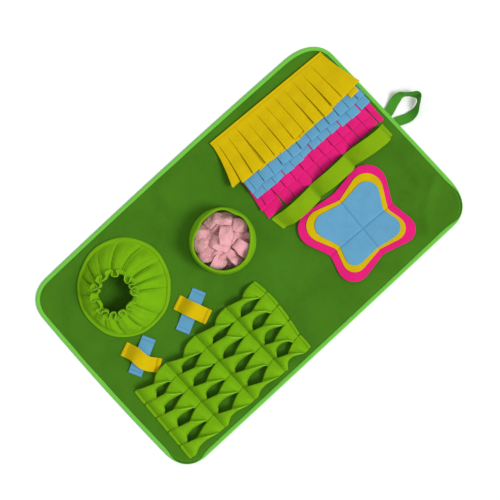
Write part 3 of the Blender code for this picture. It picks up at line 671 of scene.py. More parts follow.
class Shade:
    """A cloth material, built node by node."""

    def __init__(self, name, roughness=0.95, sheen=0.3, gloss=0.15, tint=WHITE[:3], fuzz=0.45):
        self.material = bpy.data.materials.new(name)
        self.material.use_nodes = True
        self.tree = self.material.node_tree
        self.surface = self.tree.nodes["Principled BSDF"]
        self.surface.inputs["Roughness"].default_value = roughness
        self.surface.inputs["Sheen Weight"].default_value = sheen
        self.surface.inputs["Sheen Roughness"].default_value = fuzz
        self.surface.inputs["Sheen Tint"].default_value = (*tint, 1.0)
        self.surface.inputs["Specular IOR Level"].default_value = gloss
        self.place = self.tree.nodes.new("ShaderNodeTexCoord")
        self.bumps = None

    def stretched(self, socket, scale):
        mapping = self.tree.nodes.new("ShaderNodeMapping")
        mapping.inputs["Scale"].default_value = scale
        self.tree.links.new(self.place.outputs[socket], mapping.inputs["Vector"])
        return mapping.outputs["Vector"]

    def grain(self, size, detail=3.0, stretch=(1, 1, 1), distortion=0.0):
        """Noise whose grains are about as large as size."""
        texture = self.tree.nodes.new("ShaderNodeTexNoise")
        texture.inputs["Scale"].default_value = 1 / size
        texture.inputs["Detail"].default_value = detail
        texture.inputs["Distortion"].default_value = distortion
        self.tree.links.new(self.stretched("Object", stretch), texture.inputs["Vector"])
        return texture.outputs["Fac"]

    def ribs(self, pitch, direction, distortion=0.0):
        """Ribs across the flat map, one every pitch."""
        texture = self.tree.nodes.new("ShaderNodeTexWave")
        texture.wave_type = "BANDS"
        texture.bands_direction = direction
        texture.inputs["Scale"].default_value = math.pi / 10 / pitch
        texture.inputs["Distortion"].default_value = distortion
        self.tree.links.new(self.place.outputs["UV"], texture.inputs["Vector"])
        return texture.outputs["Fac"]

    def blend(self, share, low, high):
        """A colour between two, by a share from 0 to 1."""
        mix = self.tree.nodes.new("ShaderNodeMix")
        mix.data_type = "RGBA"
        for socket, colour in (("A", low), ("B", high)):
            target = next(s for s in mix.inputs if s.name == socket and s.type == "RGBA")
            if isinstance(colour, tuple):
                target.default_value = (*colour, 1.0)
            else:
                self.tree.links.new(colour, target)
        self.tree.links.new(share, mix.inputs["Factor"])
        return next(s for s in mix.outputs if s.type == "RGBA")

    def spread(self, share, low, high):
        """Stretches the middle of a share's range to 0 to 1."""
        span = self.tree.nodes.new("ShaderNodeMapRange")
        span.inputs["From Min"].default_value = low
        span.inputs["From Max"].default_value = high
        self.tree.links.new(share, span.inputs["Value"])
        return span.outputs["Result"]

    def mottled(self, size, colour, low, high, detail=3.0):
        """A colour between two tones of it, in soft patches about as large as size."""
        patches = self.spread(self.grain(size, detail), 0.30, 0.70)
        return self.blend(patches, toned(colour, low), toned(colour, high))

    def times(self, first, second):
        product = self.tree.nodes.new("ShaderNodeMath")
        product.operation = "MULTIPLY"
        for socket, value in zip(product.inputs, (first, second)):
            if isinstance(value, float):
                socket.default_value = value
            else:
                self.tree.links.new(value, socket)
        return product.outputs["Value"]

    def raise_by(self, height, distance, strength=1.0):
        """Adds a bump of a height map over the ones before it."""
        bump = self.tree.nodes.new("ShaderNodeBump")
        bump.inputs["Distance"].default_value = distance
        bump.inputs["Strength"].default_value = strength
        self.tree.links.new(height, bump.inputs["Height"])
        if self.bumps:
            self.tree.links.new(self.bumps, bump.inputs["Normal"])
        self.bumps = bump.outputs["Normal"]

    def done(self, colour):
        self.tree.links.new(colour, self.surface.inputs["Base Color"])
        if self.bumps:
            self.tree.links.new(self.bumps, self.surface.inputs["Normal"])
        return self.material


def toned(colour, factor):
    return tuple(min(1.0, channel * factor) for channel in colour)


def paler(colour, share):
    return tuple(channel + (1 - channel) * share for channel in colour)


def felt_finish(name, colour, cut=False):
    """Pressed felt: matted fibres, small pills and uneven dye. The cut copy is paler and fluffier: painted
    highlight along the felt's cut edges and the grid's raised crests.
    """
    shade = Shade(name, sheen=0.15 if cut else 0.06, gloss=0.04, tint=paler(colour, 0.1))
    # The cut copy's base is brightened: painted highlight
    base = toned(paler(colour, 0.02), 1.35) if cut else colour
    fibres = shade.grain(size=0.0005, detail=4.0, stretch=(1.0, 0.25, 0.6), distortion=1.2)
    crossed = shade.grain(size=0.0005, detail=4.0, stretch=(0.25, 1.0, 0.6), distortion=1.2)
    pills = shade.spread(shade.grain(size=0.0022, detail=2.0), low=0.42, high=0.66)
    dyed = shade.mottled(size=0.030, colour=base, low=0.90, high=1.08)
    fibred = shade.blend(shade.spread(fibres, low=0.35, high=0.65), toned(base, 0.80), dyed)
    crests = shade.times(shade.spread(crossed, low=0.56, high=0.72), 0.35)
    paled = shade.blend(crests, fibred, paler(base, 0.08))
    shade.raise_by(pills, distance=0.0003, strength=0.5)
    shade.raise_by(fibres, distance=0.0003, strength=0.8)
    shade.raise_by(crossed, distance=0.0003, strength=0.8)
    return shade.done(paled)


def mat_finish():
    """Brushed plain-weave cloth, dark green, with soft pressed marks."""
    colour = COLOURS["mat"]
    shade = Shade("mat_cloth", roughness=0.9, sheen=0.04, gloss=0.04, tint=paler(colour, 0.1))
    pressed = shade.spread(shade.grain(size=0.120, detail=2.0, distortion=0.6), low=0.36, high=0.64)
    uneven = shade.spread(shade.grain(size=0.012), low=0.30, high=0.70)
    nap = shade.grain(size=0.0006, detail=4.0, stretch=(1.0, 0.4, 1.0), distortion=0.8)
    weft, warp = (shade.ribs(pitch=0.0007, direction=way, distortion=0.4) for way in ("X", "Y"))
    broad = shade.blend(pressed, toned(colour, 0.86), toned(colour, 1.17))
    worn = shade.blend(shade.times(uneven, 0.5), broad, toned(colour, 1.12))
    napped = shade.blend(shade.spread(nap, low=0.32, high=0.60), toned(colour, 0.78), worn)
    shade.raise_by(pressed, distance=0.0016, strength=0.35)
    shade.raise_by(shade.times(weft, warp), distance=0.00015, strength=0.5)
    shade.raise_by(nap, distance=0.0002, strength=0.6)
    return shade.done(napped)


def tape_finish(name, colour, direction):
    """Ribbed woven tape: fine ribs across its length and a soft sheen."""
    shade = Shade(name, roughness=0.70, sheen=0.12, gloss=0.20, tint=paler(colour, 0.3))
    rib = shade.ribs(pitch=0.0008, direction=direction, distortion=0.6)
    broad = shade.mottled(size=0.020, colour=colour, low=0.92, high=1.06)
    ribbed = shade.blend(shade.times(rib, 0.6), toned(colour, 0.78), broad)
    shade.raise_by(rib, distance=0.00018, strength=0.7)
    shade.raise_by(shade.grain(size=0.0004), distance=0.0001, strength=0.5)
    return shade.done(ribbed)


def fleece_finish():
    """Soft fleece: curly pile, paler on its crests."""
    shade = Shade("pink_fleece", roughness=1.0, sheen=0.5, tint=FLEECE_SHEEN)
    curls = shade.grain(size=0.0016, detail=4.0, distortion=1.5)
    tufts = shade.spread(shade.grain(size=0.006, detail=2.0), low=0.35, high=0.65)
    broad = shade.mottled(size=0.022, colour=COLOURS["fleece"], low=0.92, high=1.04, detail=2.0)
    piled = shade.blend(shade.spread(curls, low=0.30, high=0.60), FLEECE_DEEP, broad)
    shade.raise_by(tufts, distance=0.0010, strength=0.5)
    shade.raise_by(curls, distance=0.0007, strength=0.8)
    return shade.done(piled)


def thread_finish(name, colour):
    """Twisted sewing thread with a slight gloss."""
    shade = Shade(name, roughness=0.55, sheen=0.1, gloss=0.4)
    twist = shade.grain(size=0.0004, detail=2.0, distortion=1.0)
    return shade.done(shade.blend(twist, toned(colour, 0.70), toned(colour, 1.10)))


def make_finishes():
    made = {"mat": mat_finish(), "fleece": fleece_finish()}
    made["binding"] = tape_finish("binding_tape", COLOURS["binding"], "X")
    made["loop"] = tape_finish("loop_tape", COLOURS["loop"], "Y")
    for colour in ("green", "lime", "yellow", "blue", "pink"):
        made[colour] = felt_finish(colour + "_felt", COLOURS[colour])
        # The cut copy: painted highlight for cut edges and raised crests
        made[colour + "_cut"] = felt_finish(colour + "_felt_cut", COLOURS[colour], cut=True)
        # The pressed copy is much darker: painted shade for the grooves beside the grid's seams
        pressed = toned(COLOURS[colour], SEAM_SHADE_TONE)
        made[colour + "_seam_shade"] = felt_finish(colour + "_felt_seam_shade", pressed)
        # Thread darker than its felt: partly painted shade of the stitched groove
        made[colour + "_thread"] = thread_finish(colour + "_thread", toned(COLOURS[colour], THREAD_SHADE_TONE))
    made["binding_thread"] = thread_finish("binding_thread", COLOURS["binding"])
    return made


FINISH = make_finishes()
SLOTS = {colour: colour + "_felt" for colour in ("green", "yellow", "blue", "pink")}
SLOTS["lime"] = "green_felt"


def felt_piece(cloth, name, node, colour):
    # Second finish: the paler copy, painted highlight for rims and crests; third: the darker copy, painted
    # shade beside seams
    finishes = (FINISH[colour], FINISH[colour + "_cut"], FINISH[colour + "_seam_shade"])
    return cloth.piece(name, node, SLOTS[colour], finishes, FELT, FELT_WELD)


def corner_point(corner, degrees):
    angle = math.radians(degrees)
    full_x = abs(math.cos(angle)) ** (2 / CORNER_FULLNESS)
    full_y = abs(math.sin(angle)) ** (2 / CORNER_FULLNESS)
    x = corner.side_x * (corner.reach_x - corner.radius_x * (1 - full_x))
    y = corner.side_y * (corner.reach_y - corner.radius_y * (1 - full_y))
    return Vector((x, y))


def even_ring(points, count, rounds=0):
    """A closed line spaced evenly, with its corners eased in rounds."""
    lengths = Cloth.measured([*points, points[0]])
    even = []
    piece = 0
    for step in range(count):
        wanted = lengths[-1] * step / count
        while lengths[piece + 1] < wanted:
            piece += 1
        share = (wanted - lengths[piece]) / max(lengths[piece + 1] - lengths[piece], NO_LENGTH)
        even.append(points[piece].lerp(points[(piece + 1) % len(points)], share))
    for _ in range(rounds):
        even = [(even[i - 1] + even[i] * 2 + even[(i + 1) % count]) / 4 for i in range(count)]
    return even


def mat_outline():
    """The mat's outline, counter-clockwise, as evenly spaced points."""
    points = []
    for index, (corner, edge) in enumerate(zip(CORNERS, EDGES)):
        start_angle = 90 * index
        for step in range(CORNER_STEPS + 1):
            points.append(corner_point(corner, start_angle + 90 * step / CORNER_STEPS))
        start = points[-1]
        end = corner_point(CORNERS[(index + 1) % len(CORNERS)], start_angle + 90)
        along = (end - start).normalized()
        outwards = Vector((along.y, -along.x))
        for step in range(1, edge.points + 1):
            share = step / (edge.points + 1)
            points.append(start.lerp(end, share) + outwards * edge.bow * 4 * share * (1 - share))
    return even_ring(points, OUTLINE_POINTS)


def inset(points, distance):
    """The outline moved inwards by a distance, square to itself."""
    moved = []
    for index, point in enumerate(points):
        along = (points[(index + 1) % len(points)] - points[index - 1]).normalized()
        moved.append(point + Vector((-along.y, along.x)) * distance)
    return moved


def fold_height(x, y):
    """How far the mat's soft folds lift it off the floor."""
    height = 0.0
    for fold in FOLDS:
        start = Vector((fold.x1, fold.y1))
        run = Vector((fold.x2, fold.y2)) - start
        share = max(0.0, min(1.0, (Vector((x, y)) - start).dot(run) / run.length_squared))
        away = (Vector((x, y)) - start - run * share).length / fold.half_width
        height = max(height, fold.height * max(0.0, 1 - away * away) ** 2)
    return height


def free_cloth(x, y):
    """0 where felt is sewn over the mat, up to 1 where the cloth lies free."""
    nearest = 1.0
    for area in SEWN_AREAS:
        out_x = max(0.0, abs(x - area.x) - area.half_x)
        out_y = max(0.0, abs(y - area.y) - area.half_y)
        nearest = min(nearest, math.hypot(out_x, out_y) / SEWN_FADE)
    return smooth(nearest)


def wrinkle(x, y):
    """The mat's soft unevenness, where nothing is sewn on it."""
    return free_cloth(x, y) * sum(rippled(wave, x, y) for wave in WRINKLES)


def pucker(along, away):
    """Small gathers that the binding's seam pulls into the cloth."""
    gather = noise.noise(Vector((along / PUCKER.size, 0.0, PUCKER.layer)))
    return PUCKER.height * gather * math.exp(-away / PUCKER_REACH)


def build_mat_base():
    outline = mat_outline()
    inner = inset(outline, FREE_FROM)
    lengths = Cloth.measured(outline)
    upper = []
    lower = []
    for distance in PRESSED_RINGS:
        ring = inset(outline, distance)
        upper.append([(p.x, p.y, PRESSED + PRESSED_CLOTH) for p in ring])
        lower.append([(p.x, p.y, PRESSED) for p in ring])
    for step in range(MAT_RINGS):
        share = 1 - step / MAT_RINGS
        top_row = []
        bottom_row = []
        for index, edge_point in enumerate(inner):
            p = edge_point * share
            lifted = fold_height(p.x, p.y)
            away = edge_point.length * (1 - share)
            rough = (wrinkle(p.x, p.y) + pucker(lengths[index], away)) * smooth(away / FREE_EASE)
            top_row.append((p.x, p.y, MAT + lifted + rough))
            bottom_row.append((p.x, p.y, lifted))
        upper.append(top_row)
        lower.append(bottom_row)
    cloth = Cloth()
    cloth.add([*reversed(upper), *lower], wrap=True)
    cloth.fan(upper[-1], (0.0, 0.0, MAT))
    cloth.fan([*reversed(lower[-1])], (0.0, 0.0, 0.0))
    cloth.flats = [cloth.points[corner][:2] for face in cloth.faces for corner in face]
    made = cloth.piece("mat_cloth", "mat_base", "mat_cloth", (FINISH["mat"],), weld=CLOTH_WELD)


def binding_tuck(point):
    """How much of the binding is rolled out of sight: most at two of the mat's corners."""
    tuck = 0.0
    for corner in TUCKED_CORNERS:
        away = (point - Vector((corner.x, corner.y))).length / corner.reach
        tuck = max(tuck, corner.share * math.exp(-(away**4)))
    return tuck


def build_binding():
    outline = mat_outline()
    lengths = Cloth.measured(outline)
    rows = []
    for distance, height in BINDING_PROFILE:
        turned = smooth(distance / BINDING_TURN)
        puff = BINDING_PUFF.height * turned if height > BINDING_SIDE else 0.0
        sway = BINDING_SWAY.height * (distance / BINDING_WIDTH) ** 2
        row = []
        for index, point in enumerate(inset(outline, distance)):
            point = point.lerp(outline[index], binding_tuck(outline[index]) * turned)
            around = lengths[index]
            place = (around / BINDING_PUFF.size, distance / PUFF_WIDTH, BINDING_PUFF.layer)
            puffed = noise.noise(Vector(place))
            swayed = noise.noise(Vector((around / BINDING_SWAY.size, 0.0, BINDING_SWAY.layer)))
            point -= point.normalized() * sway * swayed
            row.append((point.x, point.y, height + puff * puffed))
        rows.append(row)
    cloth = Cloth()
    cloth.add(rows, wrap=True)
    made = cloth.piece("binding", "edge_binding", "binding_tape", (FINISH["binding"],), TAPE)


class Stitches:
    """Runs of sewing stitches in one colour of thread."""

    def __init__(self):
        self.points = []
        self.faces = []

    def stitch(self, start, end):
        along = (end - start).normalized()
        side = along.cross(UP).normalized() * STITCH_RADIUS
        top = UP * STITCH_RADIUS
        ring = [side * across + top * up for across, up in STITCH_ROUND]
        first = len(self.points)
        for share, lift, width in STITCH_SHAPE:
            centre = start.lerp(end, share) + top * lift
            self.points += [tuple(centre + corner * width) for corner in ring]
        for row in range(len(STITCH_SHAPE) - 1):
            for column in range(len(ring) - 1):
                low = first + row * len(ring) + column
                high = low + len(ring)
                self.faces.append((low, low + 1, high + 1, high))

    def run(self, line):
        """Stitches along a line of points."""
        line = [Vector(point) for point in line]
        lengths = Cloth.measured(line)
        at = STITCH_GAP
        while at + STITCH_LENGTH < lengths[-1]:
            ends = []
            for wanted in (at, at + STITCH_LENGTH):
                piece = next(i for i in range(len(lengths) - 1) if lengths[i + 1] >= wanted)
                span = max(lengths[piece + 1] - lengths[piece], NO_LENGTH)
                ends.append(line[piece].lerp(line[piece + 1], (wanted - lengths[piece]) / span))
            self.stitch(*ends)
            at += STITCH_LENGTH + STITCH_GAP

    def across(self, middle, side):
        """Stitches along a seam, from one side of its middle to the other."""
        self.run((middle - side, middle + side))

    def piece(self, name, slot, finish):
        mesh = bpy.data.meshes.new(name)
        mesh.from_pydata(self.points, [], self.faces)
        mesh.shade_smooth()
        mesh.materials.append(finish)
        made = placed(name, mesh)
        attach(made, "root")


THREADS = {name: Stitches() for name in ("binding", "green", "lime", "yellow", "blue", "pink")}


def sew_binding():
    height = BINDING_TOP + TAPE / 2 - STITCH_BEDDED
    line = [(p.x, p.y, height) for p in inset(mat_outline(), STITCH_INSET)]
    line.append(line[0])
    for start in range(0, len(line) - 1, BINDING_RUN):
        THREADS["binding"].run(line[start:start + BINDING_RUN + 1])


def strip_columns(left, right, columns=STRIP_COLUMNS):
    """Places across a strip, close together at its two cut edges."""
    low, high = left + CUT_EDGE, right - CUT_EDGE
    return [left, *(low + (high - low) * step / columns for step in range(columns + 1)), right]


def strip_edges(fringe, tier):
    """Where a tier is slit, from its left end to its right end."""
    edges = [fringe.left]
    slit = getattr(fringe, "slit_" + tier)
    while slit < fringe.right - STRIP_PITCH / 2:
        edges.append(slit)
        slit += STRIP_PITCH
    return [*edges, fringe.right]


def slit_gap(fringe, x, down):
    """Half the width of the slit at x, at a share of the way down its strips."""
    for opening in fringe.open:
        if abs(opening.x - x) < STRIP_PITCH / 10:
            return opening.width / 2 * down**opening.late
    return SLIT_PLAY * smooth(down * SLIT_EASED)


def header_edge(fringe, x):
    """Where the fringe's header ends, square to its sewn edge."""
    slope = (fringe.top_right - fringe.top_left) / (fringe.right - fringe.left)
    return fringe.top_left + slope * (x - fringe.left)


def build_tier(fringe, name):
    """One sheet of felt, slit into strips below its header."""
    tier = TIERS[name]
    rng = random.Random(fringe.seed + tier.seed)
    floor = tier.floor + FELT / 2
    header_z = fringe.levels[0].z + floor
    edges = strip_edges(fringe, name)
    cloth = Cloth()
    for left, right in zip(edges, edges[1:]):
        centre, half = (left + right) / 2, (right - left) / 2
        tip_y = table_at(fringe.tips, "x", centre, name) + rng.uniform(-TIP_PLAY, TIP_PLAY)
        lift = fringe.lift * rng.uniform(*LIFT_PLAY) * tier.lift
        lean = tier.tilt * rng.uniform(*TILT_PLAY)
        skew = rng.uniform(-STRIP_SKEW, STRIP_SKEW) * min(1.0, half / SKEW_FULL)
        phase = rng.uniform(0, 2 * math.pi)
        rows = []
        for part in HEADER_PARTS:
            raised = HEADER_GROOVE * (1 - math.exp(-(((part - HEADER_STITCH) / GROOVE_WIDTH) ** 2)))
            places = strip_columns(left, right)
            rows.append([(x, header_edge(fringe, x) - part, header_z + raised) for x in places])
        for step in range(STRIP_ROWS + 1):
            down = step / STRIP_ROWS
            low = left if left == edges[0] else left + slit_gap(fringe, left, down)
            high = right if right == edges[-1] else right - slit_gap(fringe, right, down)
            leant = lean * smooth((down - fringe.lean_from) / (1 - fringe.lean_from))
            waved = tier.wave * down * math.sin(STRIP_WAVES * down + phase)
            row = []
            for x in strip_columns(low, high):
                across = max(-1.0, min(1.0, (x - centre) / half))
                top_y = header_edge(fringe, x) - HEADER_PARTS[-1]
                y = top_y + (tip_y + skew * across - top_y) * down
                z = table_at(fringe.levels, "y", y, "z") + floor + HEADER_GROOVE * (1 - down)
                z += lift * down**3 + leant * (1 - across) + waved
                z += tier.bow * (1 - across**2) * smooth(down * BOW_EASE)
                shift = min(table_at(fringe.tips, "x", x, "shift"), tier.most_shift)
                row.append((x + shift * down**SHIFT_CURVE, y, z))
            rows.append(row)
        cloth.add(rows)
    made = felt_piece(cloth, f"fringe_{fringe.colour}_{name}", "fringe_" + fringe.colour, fringe.colour)
    deep = fringe.top_left - sum(getattr(tip, name) for tip in fringe.tips) / len(fringe.tips)
    if name == "front":
        ends = (fringe.left + SEAM_IN, fringe.right - SEAM_IN)
        THREADS[fringe.colour].run(
            [(x, header_edge(fringe, x) - HEADER_STITCH, header_z + FELT / 2) for x in ends]
        )


def band_rows(line, sides, columns=BAND_COLUMNS):
    """Rows of points across a band, close together at its cut edges."""
    rows = []
    for point, side in zip(line, sides):
        direction = side.normalized()
        places = strip_columns(-side.length, side.length, columns)
        rows.append([point + direction * place for place in places])
    return rows


def droop(rows, line, width, base, ease):
    """Lets a band's long edges hang a little where it stands clear of the cloth."""
    for row, centre in zip(rows, line):
        clear = smooth((centre.z - base) / ease)
        for point in row:
            share = (point.xy - centre.xy).length / (width / 2)
            point.z -= EDGE_DROOP * share**2 * clear


def ribbon_skewed(point):
    """The ribbon's first end is sewn down a little askew, and its last arch bends aside."""
    first = 1 - smooth((point.x - RIBBON_SEAMS[0]) / RIBBON_SKEWED)
    last = smooth((point.x - RIBBON_SEAMS[-2]) / (RIBBON_SEAMS[-1] - RIBBON_SEAMS[-2]))
    askew = Vector(((RIBBON_Y - point.y) * RIBBON_SKEW + RIBBON_SHIFT, RIBBON_SHIFT, 0.0))
    return point + askew * first + RIBBON_DRAWN * last


def build_ribbon():
    stations = [(RIBBON_SEAMS[0] - RIBBON_END, 0.0, 0.0), (RIBBON_SEAMS[0], 0.0, 0.0)]
    for start, end in zip(RIBBON_SEAMS, RIBBON_SEAMS[1:]):
        for arch in RIBBON_ARCH:
            stations.append((start + (end - start) * arch.along, 0.0, arch.up * RIBBON_RISE))
        stations.append((end, 0.0, 0.0))
    stations.append((RIBBON_SEAMS[-1] + RIBBON_END, 0.0, 0.0))
    line = []
    sides = []
    for step in range(RIBBON_STEPS + 1):
        point, _ = curve_at(stations, step / RIBBON_STEPS)
        height = max(0.0, point.z)
        arched = min(1.0, height / RIBBON_RISE)
        y = RIBBON_Y + rippled(RIBBON_SWAY, point.x, 0.0) - RIBBON_LEAN * arched
        line.append(Vector((point.x, y, REST + height)))
        twist = rippled(RIBBON_TWIST, point.x, 0.0) * smooth(height / RIBBON_TWISTS_FROM)
        wide = RIBBON_WIDTH * (1 - RIBBON_DRAWN_IN * (1 - arched) ** 2)
        sides.append(Vector((0.0, math.cos(twist), math.sin(twist))) * wide / 2)
    rows = band_rows(line, sides)
    droop(rows, line, RIBBON_WIDTH, REST, RIBBON_DROOPS_FROM)
    cloth = Cloth()
    cloth.add([[ribbon_skewed(point) for point in row] for row in rows])
    made = felt_piece(cloth, "loop_ribbon_felt", "loop_ribbon", "lime")
    length = Cloth.measured(line)[-1]
    reach = RIBBON_WIDTH / 2 - SEAM_IN
    for seam in RIBBON_SEAMS:
        ends = [Vector((seam, RIBBON_Y + side * reach, REST + FELT / 2)) for side in (-1, 1)]
        THREADS["lime"].run([ribbon_skewed(end) for end in ends])


def butterfly_outline(wings):
    """Arcs round the wings, joined by straight tangents to the notches between them."""
    points = []
    for index, wing in enumerate(wings):
        following = wings[(index + 1) % len(wings)]
        centre = Vector((wing.x, wing.y))
        before = Vector((wing.notch_x, wing.notch_y)) - centre
        after = Vector((following.notch_x, following.notch_y)) - centre
        start = math.atan2(before.y, before.x) + math.acos(wing.radius / before.length)
        end = math.atan2(after.y, after.x) - math.acos(wing.radius / after.length)
        while end < start:
            end += 2 * math.pi
        points.append(Vector((wing.notch_x, wing.notch_y)))
        for step in range(WING_STEPS + 1):
            angle = start + (end - start) * step / WING_STEPS
            points.append(on_circle(angle, wing.radius, centre))
    return points


def seam_distance(x, y):
    """How far a place is from the butterfly's two crossed seams."""
    nearest = 1.0
    for start, end in BUTTERFLY_SEAMS:
        run = Vector(end) - Vector(start)
        reach = Vector((x, y)) - Vector(start)
        share = max(0.0, min(1.0, reach.dot(run) / run.length_squared))
        nearest = min(nearest, (reach - run * share).length)
    return nearest


def wing_lift(x, y):
    """The wings are held at the seams alone, so they lift a little towards their tips."""
    away = seam_distance(x, y)
    lift = BUTTERFLY_LIFT * smooth(away / BUTTERFLY_REACH) * (LIFT_LEVEL + rippled(LIFT_WAVE, x, y))
    return max(0.0, lift) - SEAM_DEPTH * math.exp(-((away / SEAM_WIDTH) ** 2)) + SEAM_DEPTH


def build_butterfly():
    centre = BUTTERFLY_CENTRE
    for order, layer in enumerate(BUTTERFLY_LAYERS):
        outline = even_ring(butterfly_outline(BUTTERFLY[layer.colour]), BUTTERFLY_POINTS, BUTTERFLY_ROUNDS)
        bottom = REST + order * (FELT + GAP)
        shares = [1 - step / BUTTERFLY_RINGS for step in range(BUTTERFLY_RINGS)]
        shares[1] = 1 - CUT_EDGE / BUTTERFLY_REACH
        rows = []
        for share in shares:
            places = [centre + (p - centre) * share for p in outline]
            rows.append([(p.x, p.y, bottom + wing_lift(p.x, p.y)) for p in places])
        cloth = Cloth()
        cloth.add(rows, wrap=True)
        cloth.fan(rows[-1], (centre.x, centre.y, bottom + wing_lift(centre.x, centre.y)))
        name = f"butterfly_{layer.colour}_felt"
        made = felt_piece(cloth, name, "butterfly_" + layer.colour, layer.colour)
    for start, end in BUTTERFLY_SEAMS:
        sew_butterfly(Vector(start), Vector(end))


def sew_butterfly(start, end):
    """A seam across all three layers, its thread in the colour of the layer on top."""
    runs = {order: [[]] for order in range(len(BUTTERFLY_LAYERS))}
    for step in range(BUTTERFLY_RUN + 1):
        p = start.lerp(end, step / BUTTERFLY_RUN)
        away = max(abs(p.x - BUTTERFLY_CENTRE.x), abs(p.y - BUTTERFLY_CENTRE.y))
        top = max(order for order, layer in enumerate(BUTTERFLY_LAYERS) if away < layer.reach)
        z = REST + top * (FELT + GAP) + FELT / 2 + wing_lift(p.x, p.y)
        for order, parts in runs.items():
            if order == top:
                parts[-1].append((p.x, p.y, z))
            elif parts[-1]:
                parts.append([])
    for order, parts in runs.items():
        for part in parts:
            if len(part) > 1:
                THREADS[BUTTERFLY_LAYERS[order].colour].run(part)


def build_strap(strap):
    """A felt strap whose ends are turned under, arched between its two sewn hems."""
    hem = STRAP_HEM / Cloth.measured(strap.line)[-1]
    high = REST + FOLDED
    turned = [(hem * fold.along, REST + fold.up) for fold in STRAP_FOLD]
    arch = []
    for step in range(1, STRAP_STEPS):
        share = step / STRAP_STEPS
        rise = strap.rise * math.sin(math.pi * share) ** STRAP_ARCH
        arch.append((hem + (1 - 2 * hem) * share, high + rise))
    other = [(1 - share, height) for share, height in reversed(turned)]
    line = []
    sides = []
    for share, height in [*turned, *arch, *other]:
        point, heading = curve_at(strap.line, share)
        line.append(Vector((point.x, point.y, height)))
        sides.append(Vector((-heading.y, heading.x, 0)) * strap.width / 2)
    rows = band_rows(line, sides)
    droop(rows, line, strap.width, high, STRAP_DROOPS_FROM)
    cloth = Cloth()
    cloth.add(rows)
    made = felt_piece(cloth, strap.name + "_felt", strap.name, strap.colour)
    cut = Cloth.measured(line)[-1]
    for share in (hem * STRAP_STITCH, 1 - hem * STRAP_STITCH):
        point, heading = curve_at(strap.line, share)
        side = Vector((-heading.y, heading.x, 0)) * (strap.width / 2 - SEAM_IN)
        THREADS[strap.colour].across(Vector((point.x, point.y, high + FELT / 2)), side)


def seam_place(seam, y):
    """Where a seam of the grid runs at a height in plan; the two outer seams aren't straight."""
    if seam == 0:
        return table_at(GRID_ENDS, "y", y, "left")
    if seam == len(GRID_SEAMS) - 1:
        return table_at(GRID_ENDS, "y", y, "right")
    return GRID_SEAMS[seam]


def top_edge(cell, strip, x):
    """The raised upper edge of a strip at a place between its seams."""
    crest = GRID_PEAKS[strip][cell].x
    left, right = (seam_place(seam, GRID_SLITS[strip]) for seam in (cell, cell + 1))
    if x <= crest:
        return grid_point(cell, strip, 1.0, max(0.0, (x - left) / (crest - left)), True)
    return grid_point(cell, strip, 1.0, min(1.0, (x - crest) / (right - crest)), False)


def grid_point(cell, strip, share, part, rising):
    """A point of one strip of the grid: share from its foot to its raised edge, part from seam to crease."""
    level = GRID_SLITS[strip + 1] + (GRID_SLITS[strip] - GRID_SLITS[strip + 1]) * share
    left, right = (seam_place(seam, level) for seam in (cell, cell + 1))
    high_y, low_y = GRID_SLITS[strip], GRID_SLITS[strip + 1]
    peak = GRID_PEAKS[strip][cell]
    wide = right - left
    foot = Vector((left + wide * GRID_FOOT.along, low_y + GRID_FOOT_IN, GRID_FOOT.up))
    lean = PEAK_LEVEL + (1 - PEAK_LEVEL) * (high_y - peak.y) / PEAK_REACH
    crest = Vector((peak.x, peak.y, GRID_PEAK_HEIGHT * lean))
    crease = foot.lerp(crest, share)
    seam_y = low_y + (high_y - low_y) * share
    if rising:
        x = left + (crease.x - left) * part
        up = table_at(RISING_FACET, "along", part, "up")
        sideways = part**RISING_SWEEP
    else:
        x = crease.x + (right - crease.x) * part
        up = table_at(FALLING_FACET, "along", part, "up")
        sideways = (1 - part) ** (FREE_SWEEP if strip == 0 else INNER_SWEEP)
    swollen = GRID_SWELL * 4 * share * (1 - share) * up
    heel = GRID_HEEL * HEEL_BY_CELL[cell] * table_at(HEEL_SHAPE, "along", (x - left) / wide, "up")
    y = seam_y + (crease.y - seam_y) * sideways
    y += heel * (1 - share) ** HEEL_CURVE - swollen * GRID_SWELL_OVER
    z = crease.z * up + swollen * GRID_SWELL_UP
    rough = GRID_RIPPLE.height * ripple(x, y, strip * GRID_RIPPLE.layer, GRID_RIPPLE.size)
    z += rough * smooth(up * RIPPLE_EASE)
    point = Vector((x, y, REST + max(0.0, z)))
    if share < 1 and strip < len(GRID_CUTS):
        cut = GRID_CUTS[strip][cell]
        along = (x - left) / wide
        before = smooth((cut.start + SLIT_EASE - along) / SLIT_EASE)
        whole = max(before, smooth((along - cut.end + SLIT_EASE) / SLIT_EASE))
        point = point.lerp(top_edge(cell, strip + 1, x), whole * (1 - share) ** 2)
    return point


def grid_hem(number, side, high_y, low_y):
    """The folded end of one strip, outside the first or the last seam."""
    rows = []
    for fold in GRID_HEM_FOLD:
        row = []
        for step in range(GRID_HEM_STEPS + 1):
            share = step / GRID_HEM_STEPS
            y = low_y + (high_y - low_y) * (GRID_HEM_ENDS + (1 - 2 * GRID_HEM_ENDS) * share)
            edge = GRID_HEM_WAVE.height * ripple(0.0, y, side * GRID_HEM_WAVE.layer, GRID_HEM_WAVE.size)
            edge -= GRID_HEM_ROUND * (2 * share - 1) ** 6
            out = fold.offset - GRID_HEM_IN + edge * fold.offset / GRID_HEM
            row.append((seam_place(number, y) + side * out, y, REST + fold.height))
        rows.append(row)
    return rows


